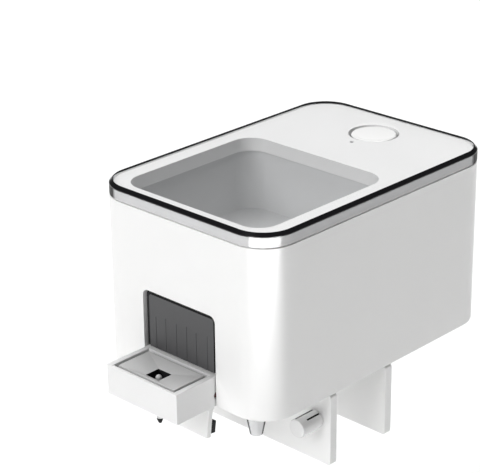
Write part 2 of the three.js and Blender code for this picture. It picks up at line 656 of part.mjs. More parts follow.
// The cup under the deck that guides the button's stem.
function buttonWell() {
  return turn([
    [BUTTON.stem + GAP, WELL.floor],
    [BUTTON.well + WELL.wall, WELL.floor],
    [BUTTON.well + WELL.wall, BODY_TOP],
    [BUTTON.well, BODY_TOP],
    [BUTTON.well, WELL.floorTop],
    [BUTTON.stem + GAP, WELL.floorTop],
    [BUTTON.stem + GAP, WELL.floor],
  ], 32);
}

// A cap with a slightly crowned top; the ring low on the stem keeps it from lifting out.
function buttonCap() {
  const under = BUTTON.top - BUTTON.cap;
  const foot = SWITCH.plungerTop + GAP;
  return turn([
    [0, foot],
    [BUTTON.stem, foot],
    [BUTTON.stem + BUTTON.ring, foot + 0.5],
    [BUTTON.stem + BUTTON.ring, WELL.floor - GAP],
    [BUTTON.stem, WELL.floor - GAP],
    [BUTTON.stem, under],
    [BUTTON.radius, under],
    [BUTTON.radius, BUTTON.top - 0.6],
    [BUTTON.radius - 0.5, BUTTON.top - 0.1],
    [0, BUTTON.top],
  ], 32);
}

class Helix extends THREE.Curve {
  constructor(radius, bottom, top, turns) {
    super();
    Object.assign(this, { radius, bottom, top, turns });
  }

  getPoint(t, target = new THREE.Vector3()) {
    const angle = 2 * Math.PI * this.turns * t;
    const z = this.bottom + (this.top - this.bottom) * t;
    return target.set(this.radius * Math.cos(angle), this.radius * Math.sin(angle), z);
  }
}

function buttonSpring() {
  const { radius, wire, turns, clearance } = SPRING;
  const bottom = WELL.floorTop + wire + clearance;
  const path = new Helix(radius, bottom, BUTTON.top - BUTTON.cap - wire - clearance, turns);
  const section = new THREE.Shape();
  section.absarc(0, 0, wire, 0, 2 * Math.PI);
  return new THREE.ExtrudeGeometry(section, { steps: turns * 14, curveSegments: 3, extrudePath: path });
}

// ---- clamp ----
function clampPlate(front, holes) {
  const half = WIDTH / 2;
  const shape = roundRect(-half, half, CLAMP.bottom, -GAP, CLAMP.radius);
  const plate = extrude(shape, -front - CLAMP.thickness, -front, 3).rotateX(Math.PI / 2);
  const middle = front + CLAMP.thickness / 2;
  const screws = CLAMP_SCREWS.map((x) => rod(1.2, -9, 1, x, middle, 10));
  return cut(plate, ...holes, ...screws);
}

function thumbHoles() {
  return [-KNOB.x, KNOB.x].map(
    (x) => rodY(KNOB.hole, CLAMP.front - 1, CLAMP.front + CLAMP.thickness + 1, x, KNOB.z, 20),
  );
}

// Knob and shank along Y, about the screw's own axis; two grooves run along the knob.
function thumbScrew() {
  const seat = CLAMP.front - GAP;
  const face = seat - KNOB.length;
  const end = CLAMP.front + CLAMP.thickness + KNOB.reach;
  const knob = new THREE.LatheGeometry([
    [0, face], [KNOB.radius - 0.4, face], [KNOB.radius, face + 0.4],
    [KNOB.radius, seat], [KNOB.shank, seat], [KNOB.shank, end], [0, end],
  ].map(([r, y]) => new THREE.Vector2(r, y)), 24);
  const grooves = [1, -1].map((side) => {
    const z = side * KNOB.radius;
    return box(-0.5, 0.5, face - 1, seat - 1, z - 0.5, z + 0.5);
  });
  return cut(knob, ...grooves);
}

function clampTip() {
  const start = CLAMP.front + CLAMP.thickness + KNOB.reach + GAP;
  return new THREE.LatheGeometry([
    [0, start], [KNOB.tip - 0.4, start], [KNOB.tip, start + 0.4],
    [KNOB.tip, start + 1.1], [KNOB.tip - 0.5, start + 1.5], [0, start + 1.5],
  ].map(([r, y]) => new THREE.Vector2(r, y)), 20);
}

// ---- put together ----
const housing = group();
put(housing, 'body_shell', bodyShell(), white);
put(housing, 'base_plate', basePlate(), white);
put(housing, 'top_deck', topDeck(), white);
put(housing, 'rim_seal', rimSeal(), seal);
put(housing, 'hopper', hopper(), softWhite);
put(housing, 'slit_curtain', curtain(), darkGrey);
put(housing, 'guide_rail_left', guideRail(-1), naturalPlastic);
put(housing, 'guide_rail_right', guideRail(1), naturalPlastic);
put(housing, 'air_nipple', airNipple(), clear).position.set(NIPPLE.x, NIPPLE.y, 0);
BASE_SCREWS.forEach(([x, y], i) => {
  const made = put(housing, `base_screw_${i + 1}`, screw(2.3, 1.1, 1, 8), steel);
  made.rotation.x = Math.PI;
  made.position.set(x, y, COUNTERBORE.top - GAP);
});

put(feeder, 'lid_cover', lidCover(), clear);

const drawer = group();
put(drawer, 'drawer_box', drawerBox(), white);
put(drawer, 'drawer_dish', drawerDish(), softWhite);
put(drawer, 'drop_pin', dropPin(), softWhite);
put(drawer, 'drop_pin_tip', pinTip(), black);
put(drawer, 'drawer_rack', drawerRack(), naturalPlastic);
put(drawer, 'stop_plug', rodX(PLUG.radius, DRAWER.x - PLUG.depth, DRAWER.x, PLUG.y, PLUG.z, 12), red);
const tab = group(drawer);
tab.position.set(0, TAB.y, 0.1);
tab.rotation.x = -THREE.MathUtils.degToRad(TAB.tilt);
put(tab, 'hanging_tab', hangingTab(), white);
put(tab, 'hanging_tab_pad', tabPad(), black);

const drive = group();
drive.position.set(0, PINION.y, PINION.z);
put(drive, 'drive_pinion', drivePinion(), naturalPlastic);
put(drive, 'gearbox_shaft', gearboxShaft(), steel);
put(drive, 'gearbox_case', gearboxCase(), brass);
put(drive, 'motor_can', motorCan(), steel);
put(feeder, 'motor_bracket', motorBracket(), naturalPlastic);
BRACKET_SCREWS.forEach((y, i) => {
  const made = put(feeder, `bracket_screw_${i + 1}`, screw(2.2, 1.3, 0.9, 1.7), steel);
  made.position.set(BRACKET_SCREW.x, y, BASE_THICKNESS + BRACKET_LEG.foot + 2 * GAP);
});
put(feeder, 'position_sensor', positionSensor(), black);

const electronics = group();
put(electronics, 'main_board', box(-PCB.x, PCB.x, PCB.y0, PCB.y1, PCB.z0, PCB.z1), greenBoard);
put(electronics, 'wifi_module', box(
  RADIO.x0, RADIO.x1, RADIO.y0, RADIO.y1, PCB.z1 + GAP, PCB.z1 + GAP + RADIO.height,
), steel);
put(electronics, 'usb_socket', usbSocket(), steel);
put(electronics, 'button_board', buttonBoard(), greenBoard);
put(electronics, 'tact_switch', tactSwitch(), black).position.y = BUTTON.y;
put(electronics, 'switch_plunger', switchPlunger(), black).position.y = BUTTON.y;
put(electronics, 'status_led', statusLed(), naturalPlastic).position.y = LED_Y;
put(electronics, 'light_pipe', lightPipe(), clear).position.y = LED_Y;
BOARD_POSTS.forEach(([x, y], i) => {
  const made = put(electronics, `board_screw_${i + 1}`, screw(2, 1.2, 0.8, 5), steel);
  made.rotation.x = Math.PI;
  made.position.set(x, y, BOARD_TOP - BOARD.thickness - GAP);
});

const button = group();
button.position.y = BUTTON.y;
put(button, 'button_well', buttonWell(), white);
put(button, 'button_cap', buttonCap(), white);
put(button, 'button_spring', buttonSpring(), steel);

const clamp = group();
put(clamp, 'clamp_plate_front', clampPlate(CLAMP.front, thumbHoles()), white);
put(clamp, 'clamp_plate_rear', clampPlate(CLAMP.rear, []), white);
[CLAMP.front, CLAMP.rear].forEach((front, row) => {
  CLAMP_SCREWS.forEach((x, i) => {
    const made = put(clamp, `clamp_plate_screw_${row * 2 + i + 1}`, screw(2.2, 1.3, 0.9, 9), steel);
    made.position.set(x, front + CLAMP.thickness / 2, BASE_THICKNESS + GAP);
  });
});
[['left', -KNOB.x], ['right', KNOB.x]].forEach(([side, x]) => {
  put(clamp, `thumb_screw_${side}`, thumbScrew(), white).position.set(x, 0, KNOB.z);
  put(clamp, `clamp_tip_${side}`, clampTip(), black).position.set(x, 0, KNOB.z);
});

export default feeder;
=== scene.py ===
"""Looks for the automatic fish feeder: fine meshes, materials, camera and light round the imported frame."""

import bmesh
import bpy
import json
import math
from mathutils import Matrix, Vector


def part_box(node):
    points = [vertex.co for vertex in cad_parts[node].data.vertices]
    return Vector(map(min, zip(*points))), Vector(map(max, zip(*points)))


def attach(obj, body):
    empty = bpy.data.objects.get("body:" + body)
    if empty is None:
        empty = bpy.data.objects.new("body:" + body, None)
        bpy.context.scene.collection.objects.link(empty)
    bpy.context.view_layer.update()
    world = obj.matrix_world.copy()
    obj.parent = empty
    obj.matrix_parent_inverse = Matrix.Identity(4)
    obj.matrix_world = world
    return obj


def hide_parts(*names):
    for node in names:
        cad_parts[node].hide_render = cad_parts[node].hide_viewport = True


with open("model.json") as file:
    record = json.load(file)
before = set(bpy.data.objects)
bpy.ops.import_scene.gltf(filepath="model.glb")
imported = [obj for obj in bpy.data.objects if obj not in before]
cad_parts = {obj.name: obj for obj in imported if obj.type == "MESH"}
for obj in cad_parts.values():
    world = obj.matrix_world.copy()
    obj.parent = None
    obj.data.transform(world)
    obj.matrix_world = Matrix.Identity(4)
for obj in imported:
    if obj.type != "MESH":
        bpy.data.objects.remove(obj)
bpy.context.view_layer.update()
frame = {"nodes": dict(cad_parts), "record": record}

MM = 0.001


def middle_of(node):
    """The middle of a node's box, seen from above."""
    low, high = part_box(node)
    return (low.x + high.x) / 2, (low.y + high.y) / 2


# ---- places taken from the frame ----
SHELL_LO, SHELL_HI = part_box("body_shell")
LID_LO, LID_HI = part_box("lid_cover")
SEAL_LO, SEAL_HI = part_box("rim_seal")
DECK_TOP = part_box("top_deck")[1].z
HOPPER_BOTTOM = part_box("hopper")[0].z
CURTAIN_LO, CURTAIN_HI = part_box("slit_curtain")
DRAWER_LO, DRAWER_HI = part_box("drawer_box")
DISH_LO, DISH_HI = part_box("drawer_dish")
PLUG_LO, PLUG_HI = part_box("stop_plug")
PLUG_MIDDLE = (PLUG_LO + PLUG_HI) / 2
BUTTON_LO, BUTTON_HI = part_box("button_cap")
WELL_LO, WELL_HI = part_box("button_well")
PIPE_LO, PIPE_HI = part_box("light_pipe")
SOCKET_LO, SOCKET_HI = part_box("usb_socket")
SOCKET_MIDDLE = (SOCKET_LO + SOCKET_HI) / 2
WIDTH = SHELL_HI.x - SHELL_LO.x
FRONT = SHELL_LO.y
REAR = SHELL_HI.y
BODY_TOP = SHELL_HI.z
LID_TOP = LID_HI.z
BUTTON_Y = middle_of("button_cap")[1]
LED_Y = middle_of("light_pipe")[1]
SCREW_PLACES = [middle_of(f"base_screw_{number}") for number in range(1, 5)]
POST_PLACES = [middle_of(f"board_screw_{number}") for number in (1, 2)]

# ---- design sizes, in metres ----
CORNER = 14.5 * MM
WALL = 2.5 * MM
GAP = 0.3 * MM               # clearance between pieces that touch
PAST = 1 * MM                # how far a cutting tool reaches past the face that it cuts
SKIRT = 1.4 * MM             # the lid's skirt
CHAMFER = 1.2 * MM           # the lid's upper edge
PLATE_UNDER = LID_TOP - 0.8 * MM
LID_INSIDE = SKIRT + GAP
SEAL_WIDTH = 0.8 * MM
FLANGE_UNDER = SEAL_HI.z + GAP
MOUTH_HALF = 36.4 * MM
MOUTH_FRONT = FRONT + 6.5 * MM
MOUTH_REAR = FRONT + 77.8 * MM
MOUTH_RADIUS = 9 * MM
COLLAR_WALL = 1.6 * MM
COLLAR_BOTTOM = 68.3 * MM
LIP_DEPTH = 4 * MM           # how far the deck reaches down inside the housing
POST_RADIUS = 2 * MM         # the posts that hold the button's board
POST_BOTTOM = 57.9 * MM
POST_TOP = 71 * MM
SMALL_HOLE = 0.9 * MM
WELL_RADIUS = 10.4 * MM
WINDOW_HALF = 19.2 * MM
WINDOW_TOP = 37 * MM
WINDOW_RADIUS = 2.7 * MM
CORNER_STEPS = 20


# ---- camera ----
# The camera's pose is given in housing widths from the middle of the housing's underside.
CAMERA_AZIMUTH = math.radians(43.5705)
CAMERA_ELEVATION = math.radians(22.2146)
CAMERA_ROLL = math.radians(-0.5294)
CAMERA_OFFSET = Vector((0.187547, -0.563993, 8.040863))
CAMERA_LENS = 133.835
CAMERA_SHIFT = (-0.0323, -0.0581)
SENSOR_WIDTH = 36            # in mm, as the lens is


def make_camera():
    back = Vector((
        math.sin(CAMERA_AZIMUTH) * math.cos(CAMERA_ELEVATION),
        -math.cos(CAMERA_AZIMUTH) * math.cos(CAMERA_ELEVATION),
        math.sin(CAMERA_ELEVATION),
    ))
    right = (-back).cross(Vector((0, 0, 1))).normalized()
    up = right.cross(-back)
    cosine = math.cos(CAMERA_ROLL)
    sine = math.sin(CAMERA_ROLL)
    rolled_right = cosine * right + sine * up
    rolled_up = -sine * right + cosine * up
    turn = Matrix((rolled_right, rolled_up, -back))
    place = -(turn.transposed() @ CAMERA_OFFSET) * WIDTH
    place.y += (FRONT + REAR) / 2
    data = bpy.data.cameras.new("camera")
    data.lens = CAMERA_LENS
    data.sensor_width = SENSOR_WIDTH
    data.shift_x, data.shift_y = CAMERA_SHIFT
    data.clip_start = 0.01
    data.clip_end = 20
    camera = bpy.data.objects.new("camera", data)
    bpy.context.scene.collection.objects.link(camera)
    axes = Matrix((rolled_right, rolled_up, back)).transposed().to_4x4()
    camera.matrix_world = Matrix.Translation(place) @ axes
    bpy.context.scene.camera = camera


# ---- materials ----
def new_material(name):
    material = bpy.data.materials.new(name)
    material.use_nodes = True
    return material, material.node_tree.nodes, material.node_tree.links


def noise(nodes, links, vector, scale, detail):
    texture = nodes.new("ShaderNodeTexNoise")
    texture.inputs["Scale"].default_value = scale
    texture.inputs["Detail"].default_value = detail
    links.new(vector, texture.inputs["Vector"])
    return texture.outputs["Fac"]


def spread(nodes, links, value, to_min, to_max, from_min=0.0, from_max=1.0):
    """Maps a value from one span onto another."""
    span = nodes.new("ShaderNodeMapRange")
    span.inputs["From Min"].default_value = from_min
    span.inputs["From Max"].default_value = from_max
    span.inputs["To Min"].default_value = to_min
    span.inputs["To Max"].default_value = to_max
    links.new(value, span.inputs["Value"])
    return span.outputs["Result"]


def shaded(nodes, links, colour, shade):
    """The colour multiplied by a shade that varies over the surface."""
    tint = nodes.new("ShaderNodeMix")
    tint.data_type = "RGBA"
    tint.blend_type = "MULTIPLY"
    tint.inputs["Factor"].default_value = 1
    tint.inputs["A"].default_value = (*colour, 1)
    links.new(shade, tint.inputs["B"])
    return tint.outputs["Result"]


def finish_shader(nodes, links, colour, gloss, height, strength, depth):
    """Joins a colour, a roughness and a bump to the material's main shader."""
    shader = next(n for n in nodes if n.type == "BSDF_PRINCIPLED")
    links.new(colour, shader.inputs["Base Color"])
    links.new(gloss, shader.inputs["Roughness"])
    bump = nodes.new("ShaderNodeBump")
    bump.inputs["Strength"].default_value = strength
    bump.inputs["Distance"].default_value = depth
    links.new(height, bump.inputs["Height"])
    links.new(bump.outputs["Normal"], shader.inputs["Normal"])
    return shader


CLOUD_SCALE = 38                # broad faint patches, a few centimetres across
GRAIN_DEPTH = 0.012 * MM
COAT_ROUGHNESS = 0.12


def moulded(name, colour, roughness, grain=5200, strength=0.35, coat=0.0, variation=0.03, ior=1.5):
    """Injection-moulded plastic or rubber: fine skin grain, broad faint shade changes and uneven gloss."""
    material, nodes, links = new_material(name)
    place = nodes.new("ShaderNodeTexCoord").outputs["Object"]
    broad = noise(nodes, links, place, CLOUD_SCALE, 3)
    fine = noise(nodes, links, place, grain, 2)
    tint = shaded(nodes, links, colour, spread(nodes, links, broad, 1 - variation, 1))
    gloss = spread(nodes, links, broad, roughness * 0.85, min(1, roughness * 1.15))
    shader = finish_shader(nodes, links, tint, gloss, fine, strength, GRAIN_DEPTH)
    shader.inputs["IOR"].default_value = ior
    shader.inputs["Coat Weight"].default_value = coat
    shader.inputs["Coat Roughness"].default_value = COAT_ROUGHNESS
    return material


BRUSH_SCALE = 900
BRUSH_DEPTH = 0.01 * MM


def brushed_metal(name, colour, roughness, stretch=(1, 1, 12)):
    """Metal with fine drawn lines; `stretch` crowds the noise along one axis."""
    material, nodes, links = new_material(name)
    place = nodes.new("ShaderNodeTexCoord").outputs["Object"]
    scale = nodes.new("ShaderNodeMapping")
    scale.inputs["Scale"].default_value = stretch
    links.new(place, scale.inputs["Vector"])
    lines = noise(nodes, links, scale.outputs["Vector"], BRUSH_SCALE, 4)
    tint = shaded(nodes, links, colour, spread(nodes, links, lines, 0.8, 1))
    gloss = spread(nodes, links, lines, roughness * 0.7, roughness * 1.4)
    shader = finish_shader(nodes, links, tint, gloss, lines, 0.2, BRUSH_DEPTH)
    shader.inputs["Metallic"].default_value = 1
    return material


def facing_amount(nodes):
    """0 where a face is seen square on, 1 where the eye looks along it."""
    layer = nodes.new("ShaderNodeLayerWeight")
    layer.inputs["Blend"].default_value = 0.5
    return layer.outputs["Facing"]


def grazing_share(nodes, links, shine, edge):
    """How much a polished face reflects: `shine` seen face on, rising steeply to `edge` along the surface."""
    steep = nodes.new("ShaderNodeMath")
    steep.operation = "POWER"
    steep.inputs[1].default_value = 4
    links.new(facing_amount(nodes), steep.inputs[0])
    return spread(nodes, links, steep.outputs["Value"], shine, edge)


def layered(nodes, links, amount, under, over):
    """One shader over another, as much as `amount` says."""
    mix = nodes.new("ShaderNodeMixShader")
    links.new(amount, mix.inputs["Fac"])
    links.new(under, mix.inputs[1])
    links.new(over, mix.inputs[2])
    return mix.outputs["Shader"]


def coloured(nodes, kind, colour):
    shader = nodes.new(kind)
    shader.inputs["Color"].default_value = (*colour, 1)
    return shader.outputs["BSDF"]


def glossy(nodes, roughness):
    shader = nodes.new("ShaderNodeBsdfGlossy")
    shader.inputs["Roughness"].default_value = roughness
    return shader.outputs["BSDF"]


def clear_plastic(name, tint, haze, shine, edge):
    """Polished clear plastic with a trace of haze, which reflects more at a grazing angle."""
    material, nodes, links = new_material(name)
    nodes.clear()
    out = nodes.new("ShaderNodeOutputMaterial")
    through = coloured(nodes, "ShaderNodeBsdfTransparent", tint)
    milk = coloured(nodes, "ShaderNodeBsdfDiffuse", (0.8, 0.81, 0.82))
    smear = noise(nodes, links, nodes.new("ShaderNodeTexCoord").outputs["Object"], 60, 4)
    hazy = layered(nodes, links, spread(nodes, links, smear, haze * 0.6, haze * 1.4), through, milk)
    whole = layered(nodes, links, grazing_share(nodes, links, shine, edge), hazy, glossy(nodes, 0.04))
    links.new(whole, out.inputs["Surface"])
    return material


EDGE_PAINTED_SHADES = [                  # how far the eye looks along the face, and the grey painted there as shade
    (0.0, (0.96, 0.962, 0.965, 1)), (0.7, (0.8, 0.8, 0.8 * 1.02, 1)),
    (0.84, (0.08, 0.08, 0.08 * 1.02, 1)), (0.96, (0.008, 0.008, 0.01, 1)),
]
# painted shade: the black mixed in where the eye looks along a clear edge
PAINTED_EDGE_BLACK = (0.012, 0.012, 0.012)


def edge_plastic(name):
    """
    Thick clear plastic on edge, such as the lid's skirt: half clear and milky seen face on, and black
    where the eye looks along it, as painted shade for the dark that a real clear edge shows by bending light.
    The painted shade deepens with the view.
    """
    material, nodes, links = new_material(name)
    nodes.clear()
    out = nodes.new("ShaderNodeOutputMaterial")
    through = coloured(nodes, "ShaderNodeBsdfTransparent", (0.93, 0.935, 0.94))
    # the milky colour comes from the painted shade greys, by how far the eye looks along the face
    milk = nodes.new("ShaderNodeBsdfDiffuse")
    painted_black = coloured(nodes, "ShaderNodeBsdfDiffuse", PAINTED_EDGE_BLACK)
    facing = facing_amount(nodes)
    ramp = nodes.new("ShaderNodeValToRGB")
    first, last = ramp.color_ramp.elements
    first.position, first.color = EDGE_PAINTED_SHADES[0]
    last.position, last.color = EDGE_PAINTED_SHADES[-1]
    for position, grey in EDGE_PAINTED_SHADES[1:-1]:
        ramp.color_ramp.elements.new(position).color = grey
    links.new(facing, ramp.inputs["Fac"])
    links.new(ramp.outputs["Color"], milk.inputs["Color"])
    smear = noise(nodes, links, nodes.new("ShaderNodeTexCoord").outputs["Object"], 45, 2)
    amount = nodes.new("ShaderNodeMath")
    amount.operation = "MAXIMUM"
    links.new(spread(nodes, links, smear, 0.5, 0.58), amount.inputs[0])
    links.new(spread(nodes, links, facing, 0, 1, 0.7, 0.84), amount.inputs[1])
    body = layered(nodes, links, amount.outputs["Value"], through, milk.outputs["BSDF"])
    # painted shade: black mixed over the edge by how far the eye looks along it
    with_painted_black = layered(nodes, links, spread(nodes, links, facing, 0, 1, 0.5, 0.62), body, painted_black)
    whole = layered(nodes, links, grazing_share(nodes, links, 0.04, 0.3), with_painted_black, glossy(nodes, 0.03))
    links.new(whole, out.inputs["Surface"])
    return material


WHITE = moulded("white_moulding", (0.88, 0.88, 0.875), 0.32, coat=0.15)
# a darker copy of the housing's white: painted shade, as the housing shades the drawer's top and side
DRAWER_WHITE_SHADED = moulded("drawer_white", (0.82, 0.82, 0.82), 0.36)
DECK_WHITE = moulded("deck_white", (0.87, 0.87, 0.87), 0.4)
HOPPER_WHITE = moulded("hopper_white", (0.66, 0.665, 0.67), 0.5, grain=3600, strength=0.5)
DRAWER_GREY = moulded("dish_grey", (0.6, 0.6, 0.6), 0.55, grain=3800, strength=0.5)
KNOB_WHITE = moulded("knob_gloss", (0.84, 0.84, 0.84), 0.25, coat=0.3)
SEAL_WHITE = moulded("seal_silicone", (0.72, 0.73, 0.74), 0.5, grain=2400)
SMOKED = moulded("light_pipe_smoke", (0.25, 0.25, 0.26), 0.2)
# black gloss, used only on the lid's chamfer as painted shade for the dark of refraction
BLACK = moulded("black_gloss", (0.006, 0.006, 0.007), 0.18, grain=4200, strength=0.1)
RUBBER = moulded(
    "black_rubber", (0.012, 0.012, 0.013), 0.75, grain=2600, strength=0.8, variation=0.2, ior=1.3,
)
SILICONE = moulded(
    "curtain_silicone", (0.074, 0.074, 0.077), 0.62, grain=1800, strength=0.5, variation=0.15,
)
RED = moulded("red_plug", (0.1, 0.006, 0.009), 0.4)
NATURAL = moulded("natural_acetal", (0.74, 0.71, 0.64), 0.42, variation=0.06)
BLACK_PLASTIC = moulded("black_nylon", (0.02, 0.02, 0.022), 0.5, variation=0.15)
BOARD = moulded("solder_mask", (0.015, 0.12, 0.045), 0.35, grain=900, strength=0.4, variation=0.2)
STEEL = brushed_metal("zinc_steel", (0.62, 0.63, 0.65), 0.3)
BRASS = brushed_metal("brass", (0.72, 0.55, 0.26), 0.32, (12, 1, 1))
CLEAR = clear_plastic("clear_acrylic", (0.995, 0.995, 0.995), 0.012, 0.01, 0.25)
# the lid's skirt and the nipple carry painted shade at their edges, by view
LID_EDGE = edge_plastic("lid_edge")
NIPPLE_PLASTIC = edge_plastic("nipple_plastic")


# ---- mesh helpers ----
def make_object(name, mesh, material):
    thing = bpy.data.objects.new(name, mesh)
    bpy.context.scene.collection.objects.link(thing)
    if material:
        mesh.materials.append(material)
    return thing


def outline_ring(x0, x1, y0, y1, radius, z, steps=CORNER_STEPS):
    """Points of a rectangle with round corners at height z, anticlockwise from above."""
    corners = [
        (x1 - radius, y0 + radius, -math.pi / 2), (x1 - radius, y1 - radius, 0),
        (x0 + radius, y1 - radius, math.pi / 2), (x0 + radius, y0 + radius, math.pi),
    ]
    points = []
    for cx, cy, start in corners:
        for i in range(steps + 1):
            angle = start + math.pi / 2 * i / steps
            points.append(Vector((cx + radius * math.cos(angle), cy + radius * math.sin(angle), z)))
    return points


def housing_ring(inset, z):
    """The housing's outline at height z, moved inwards by `inset`."""
    radius = max(CORNER - inset, 0.5 * MM)
    return outline_ring(SHELL_LO.x + inset, SHELL_HI.x - inset, FRONT + inset, REAR - inset, radius, z)


def mouth_ring(grow, z):
    return outline_ring(
        -MOUTH_HALF - grow, MOUTH_HALF + grow, MOUTH_FRONT - grow, MOUTH_REAR + grow, MOUTH_RADIUS + grow, z,
    )


def loft(name, rings, material, closed=False):
    """Joins rings of equal length with quads; open ends get a cap, and closed=True joins last to first."""
    mesh = bpy.data.meshes.new(name)
    work = bmesh.new()
    made = [[work.verts.new(p) for p in ring] for ring in rings]
    count = len(made[0])
    pairs = list(zip(made, made[1:]))
    if closed:
        pairs.append((made[-1], made[0]))
    for low, high in pairs:
        for i in range(count):
            j = (i + 1) % count
            work.faces.new((low[i], low[j], high[j], high[i]))
    if not closed:
        work.faces.new(list(reversed(made[0])))
        work.faces.new(made[-1])
    bmesh.ops.recalc_face_normals(work, faces=work.faces)
    work.to_mesh(mesh)
    work.free()
    return make_object(name, mesh, material)


def turned(name, profile, material, axis="Z", centre=(0, 0, 0), steps=64):
    """A profile of (radius, along) pairs turned round an axis; radius 0 closes on the axis."""
    mesh = bpy.data.meshes.new(name)
    work = bmesh.new()
    rings = []
    for radius, along in profile:
        if radius < 1e-7:
            rings.append([work.verts.new((0, 0, along))])
            continue
        rings.append([
            work.verts.new((
                radius * math.cos(2 * math.pi * i / steps),
                radius * math.sin(2 * math.pi * i / steps),
                along,
            )) for i in range(steps)
        ])
    closed = len(rings[0]) > 1 and len(rings[-1]) > 1
    pairs = list(zip(rings, rings[1:]))
    if closed:
        pairs.append((rings[-1], rings[0]))
    for low, high in pairs:
        for i in range(steps):
            j = (i + 1) % steps
            corners = []
            for vert in (low[i % len(low)], low[j % len(low)], high[j % len(high)], high[i % len(high)]):
                if vert not in corners:
                    corners.append(vert)
            if len(corners) > 2:
                work.faces.new(corners)
    bmesh.ops.recalc_face_normals(work, faces=work.faces)
    if axis == "Y":
        bmesh.ops.rotate(work, verts=work.verts, matrix=Matrix.Rotation(-math.pi / 2, 3, "X"))
    if axis == "X":
        bmesh.ops.rotate(work, verts=work.verts, matrix=Matrix.Rotation(math.pi / 2, 3, "Y"))
    bmesh.ops.translate(work, verts=work.verts, vec=Vector(centre))
    work.to_mesh(mesh)
    work.free()
    return make_object(name, mesh, material)


def block(name, low, high, material):
    mesh = bpy.data.meshes.new(name)
    work = bmesh.new()
    bmesh.ops.create_cube(work, size=1)
    low, high = Vector(low), Vector(high)
    for vert in work.verts:
        vert.co = Vector((
            (low.x + high.x) / 2 + vert.co.x * (high.x - low.x),
            (low.y + high.y) / 2 + vert.co.y * (high.y - low.y),
            (low.z + high.z) / 2 + vert.co.z * (high.z - low.z),
        ))
    work.to_mesh(mesh)
    work.free()
    return make_object(name, mesh, material)


def apply_modifiers(thing):
    bpy.context.view_layer.update()
    graph = bpy.context.evaluated_depsgraph_get()
    mesh = bpy.data.meshes.new_from_object(thing.evaluated_get(graph))
    old = thing.data
    thing.modifiers.clear()
    thing.data = mesh
    mesh.name = thing.name
    bpy.data.meshes.remove(old)
    return thing


def combine(base, others, operation):
    for other in others:
        modifier = base.modifiers.new("bool", "BOOLEAN")
        modifier.operation = operation
        modifier.solver = "EXACT"
        modifier.object = other
        apply_modifiers(base)
        bpy.data.objects.remove(other)
    return base


def cut(base, *tools):
    return combine(base, tools, "DIFFERENCE")


def fuse(base, *others):
    return combine(base, others, "UNION")


def soften(thing, width=0.3 * MM, segments=3, angle=35):
    """Rounds the sharp edges, as a mould does, and shades the rest smooth."""
    if width:
        bevel = thing.modifiers.new("bevel", "BEVEL")
        bevel.width = width
        bevel.segments = segments
        bevel.limit_method = "ANGLE"
        bevel.angle_limit = math.radians(angle)
        bevel.miter_outer = "MITER_ARC"
        bevel.use_clamp_overlap = True
        apply_modifiers(thing)
    for face in thing.data.polygons:
        face.use_smooth = True
    thing.data.set_sharp_from_angle(angle=math.radians(angle))
    weight = thing.modifiers.new("normals", "WEIGHTED_NORMAL")
    weight.keep_sharp = True
    apply_modifiers(thing)
    return thing


def stand_in(piece, body, *nodes):
    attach(piece, body)
    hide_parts(*nodes)
    return piece


def quarter_round(start, end, steps):
    """Points of a quarter round that leaves the start along the axis and reaches the end across it."""
    (x0, z0), (x1, z1) = start, end
    points = []
    for i in range(steps + 1):
        t = math.pi / 2 * i / steps
        points.append((x0 + (x1 - x0) * (1 - math.cos(t)), z0 + (z1 - z0) * math.sin(t)))
    return points


def plain_rod(radius, z0, z1):
    """The profile of a solid cylinder, for turned()."""
    return [(0, z0), (radius, z0), (radius, z1), (0, z1)]


# ---- housing ----
BOSS_PROFILE = [             # the hollow posts that the base screws turn into
    (1.3 * MM, 2.3 * MM), (3.1 * MM, 2.3 * MM), (3.1 * MM, 13.6 * MM), (2.7 * MM, 14 * MM),
    (1.3 * MM, 14 * MM),
]


def make_shell():
    edge = 0.35 * MM
    rings = [housing_ring(inset, z) for inset, z in (
        (0.5 * MM, 0.0), (0.15 * MM, 0.12 * MM), (0.0, 0.5 * MM),
        (0.0, BODY_TOP - edge), (0.1 * MM, BODY_TOP - 0.1 * MM), (edge, BODY_TOP),
    )]
    shell = loft("housing_shell", rings, WHITE)
    inside = loft("inside_cutter", [housing_ring(WALL, -PAST), housing_ring(WALL, BODY_TOP + PAST)], None)
    window = loft("window_cutter", window_rings(), None)
    socket = slot_cutter()
    cut(shell, inside, window, socket)
    for x, y in SCREW_PLACES:
        boss = turned("boss", BOSS_PROFILE, None, centre=(x, y, 0), steps=32)
        fuse(shell, boss)
    soften(shell, 0.3 * MM, 3)
    stand_in(shell, "housing", "body_shell")


def upright(flat, y, x=0.0, z=0.0):
    """A flat outline stood up in X and Z at depth y, with its middle moved to x and z."""
    return [Vector((x + p.x, y, z + p.y)) for p in flat]


WINDOW_BOTTOM = -21 * MM     # the opening runs out through the housing's lower edge
WINDOW_STEPS = 10


def window_rings():
    """The front opening's outline, behind the wall and in front of it."""
    flat = outline_ring(-WINDOW_HALF, WINDOW_HALF, WINDOW_BOTTOM, WINDOW_TOP, WINDOW_RADIUS, 0, WINDOW_STEPS)
    return [upright(flat, FRONT + WALL + PAST), upright(flat, FRONT - PAST)]


def pill_outline(half_x, half_z):
    """The USB inlet's outline, with almost round ends."""
    return outline_ring(-half_x, half_x, -half_z, half_z, half_z * 0.98, 0, 12)


def slot_cutter():
    half_x = (SOCKET_HI.x - SOCKET_LO.x) / 2 + GAP
    half_z = (SOCKET_HI.z - SOCKET_LO.z) / 2 + GAP
    flat = pill_outline(half_x, half_z)
    rings = [
        upright(flat, y, SOCKET_MIDDLE.x, SOCKET_MIDDLE.z) for y in (REAR - WALL - PAST, REAR + PAST)
    ]
    return loft("slot_cutter", rings, None)


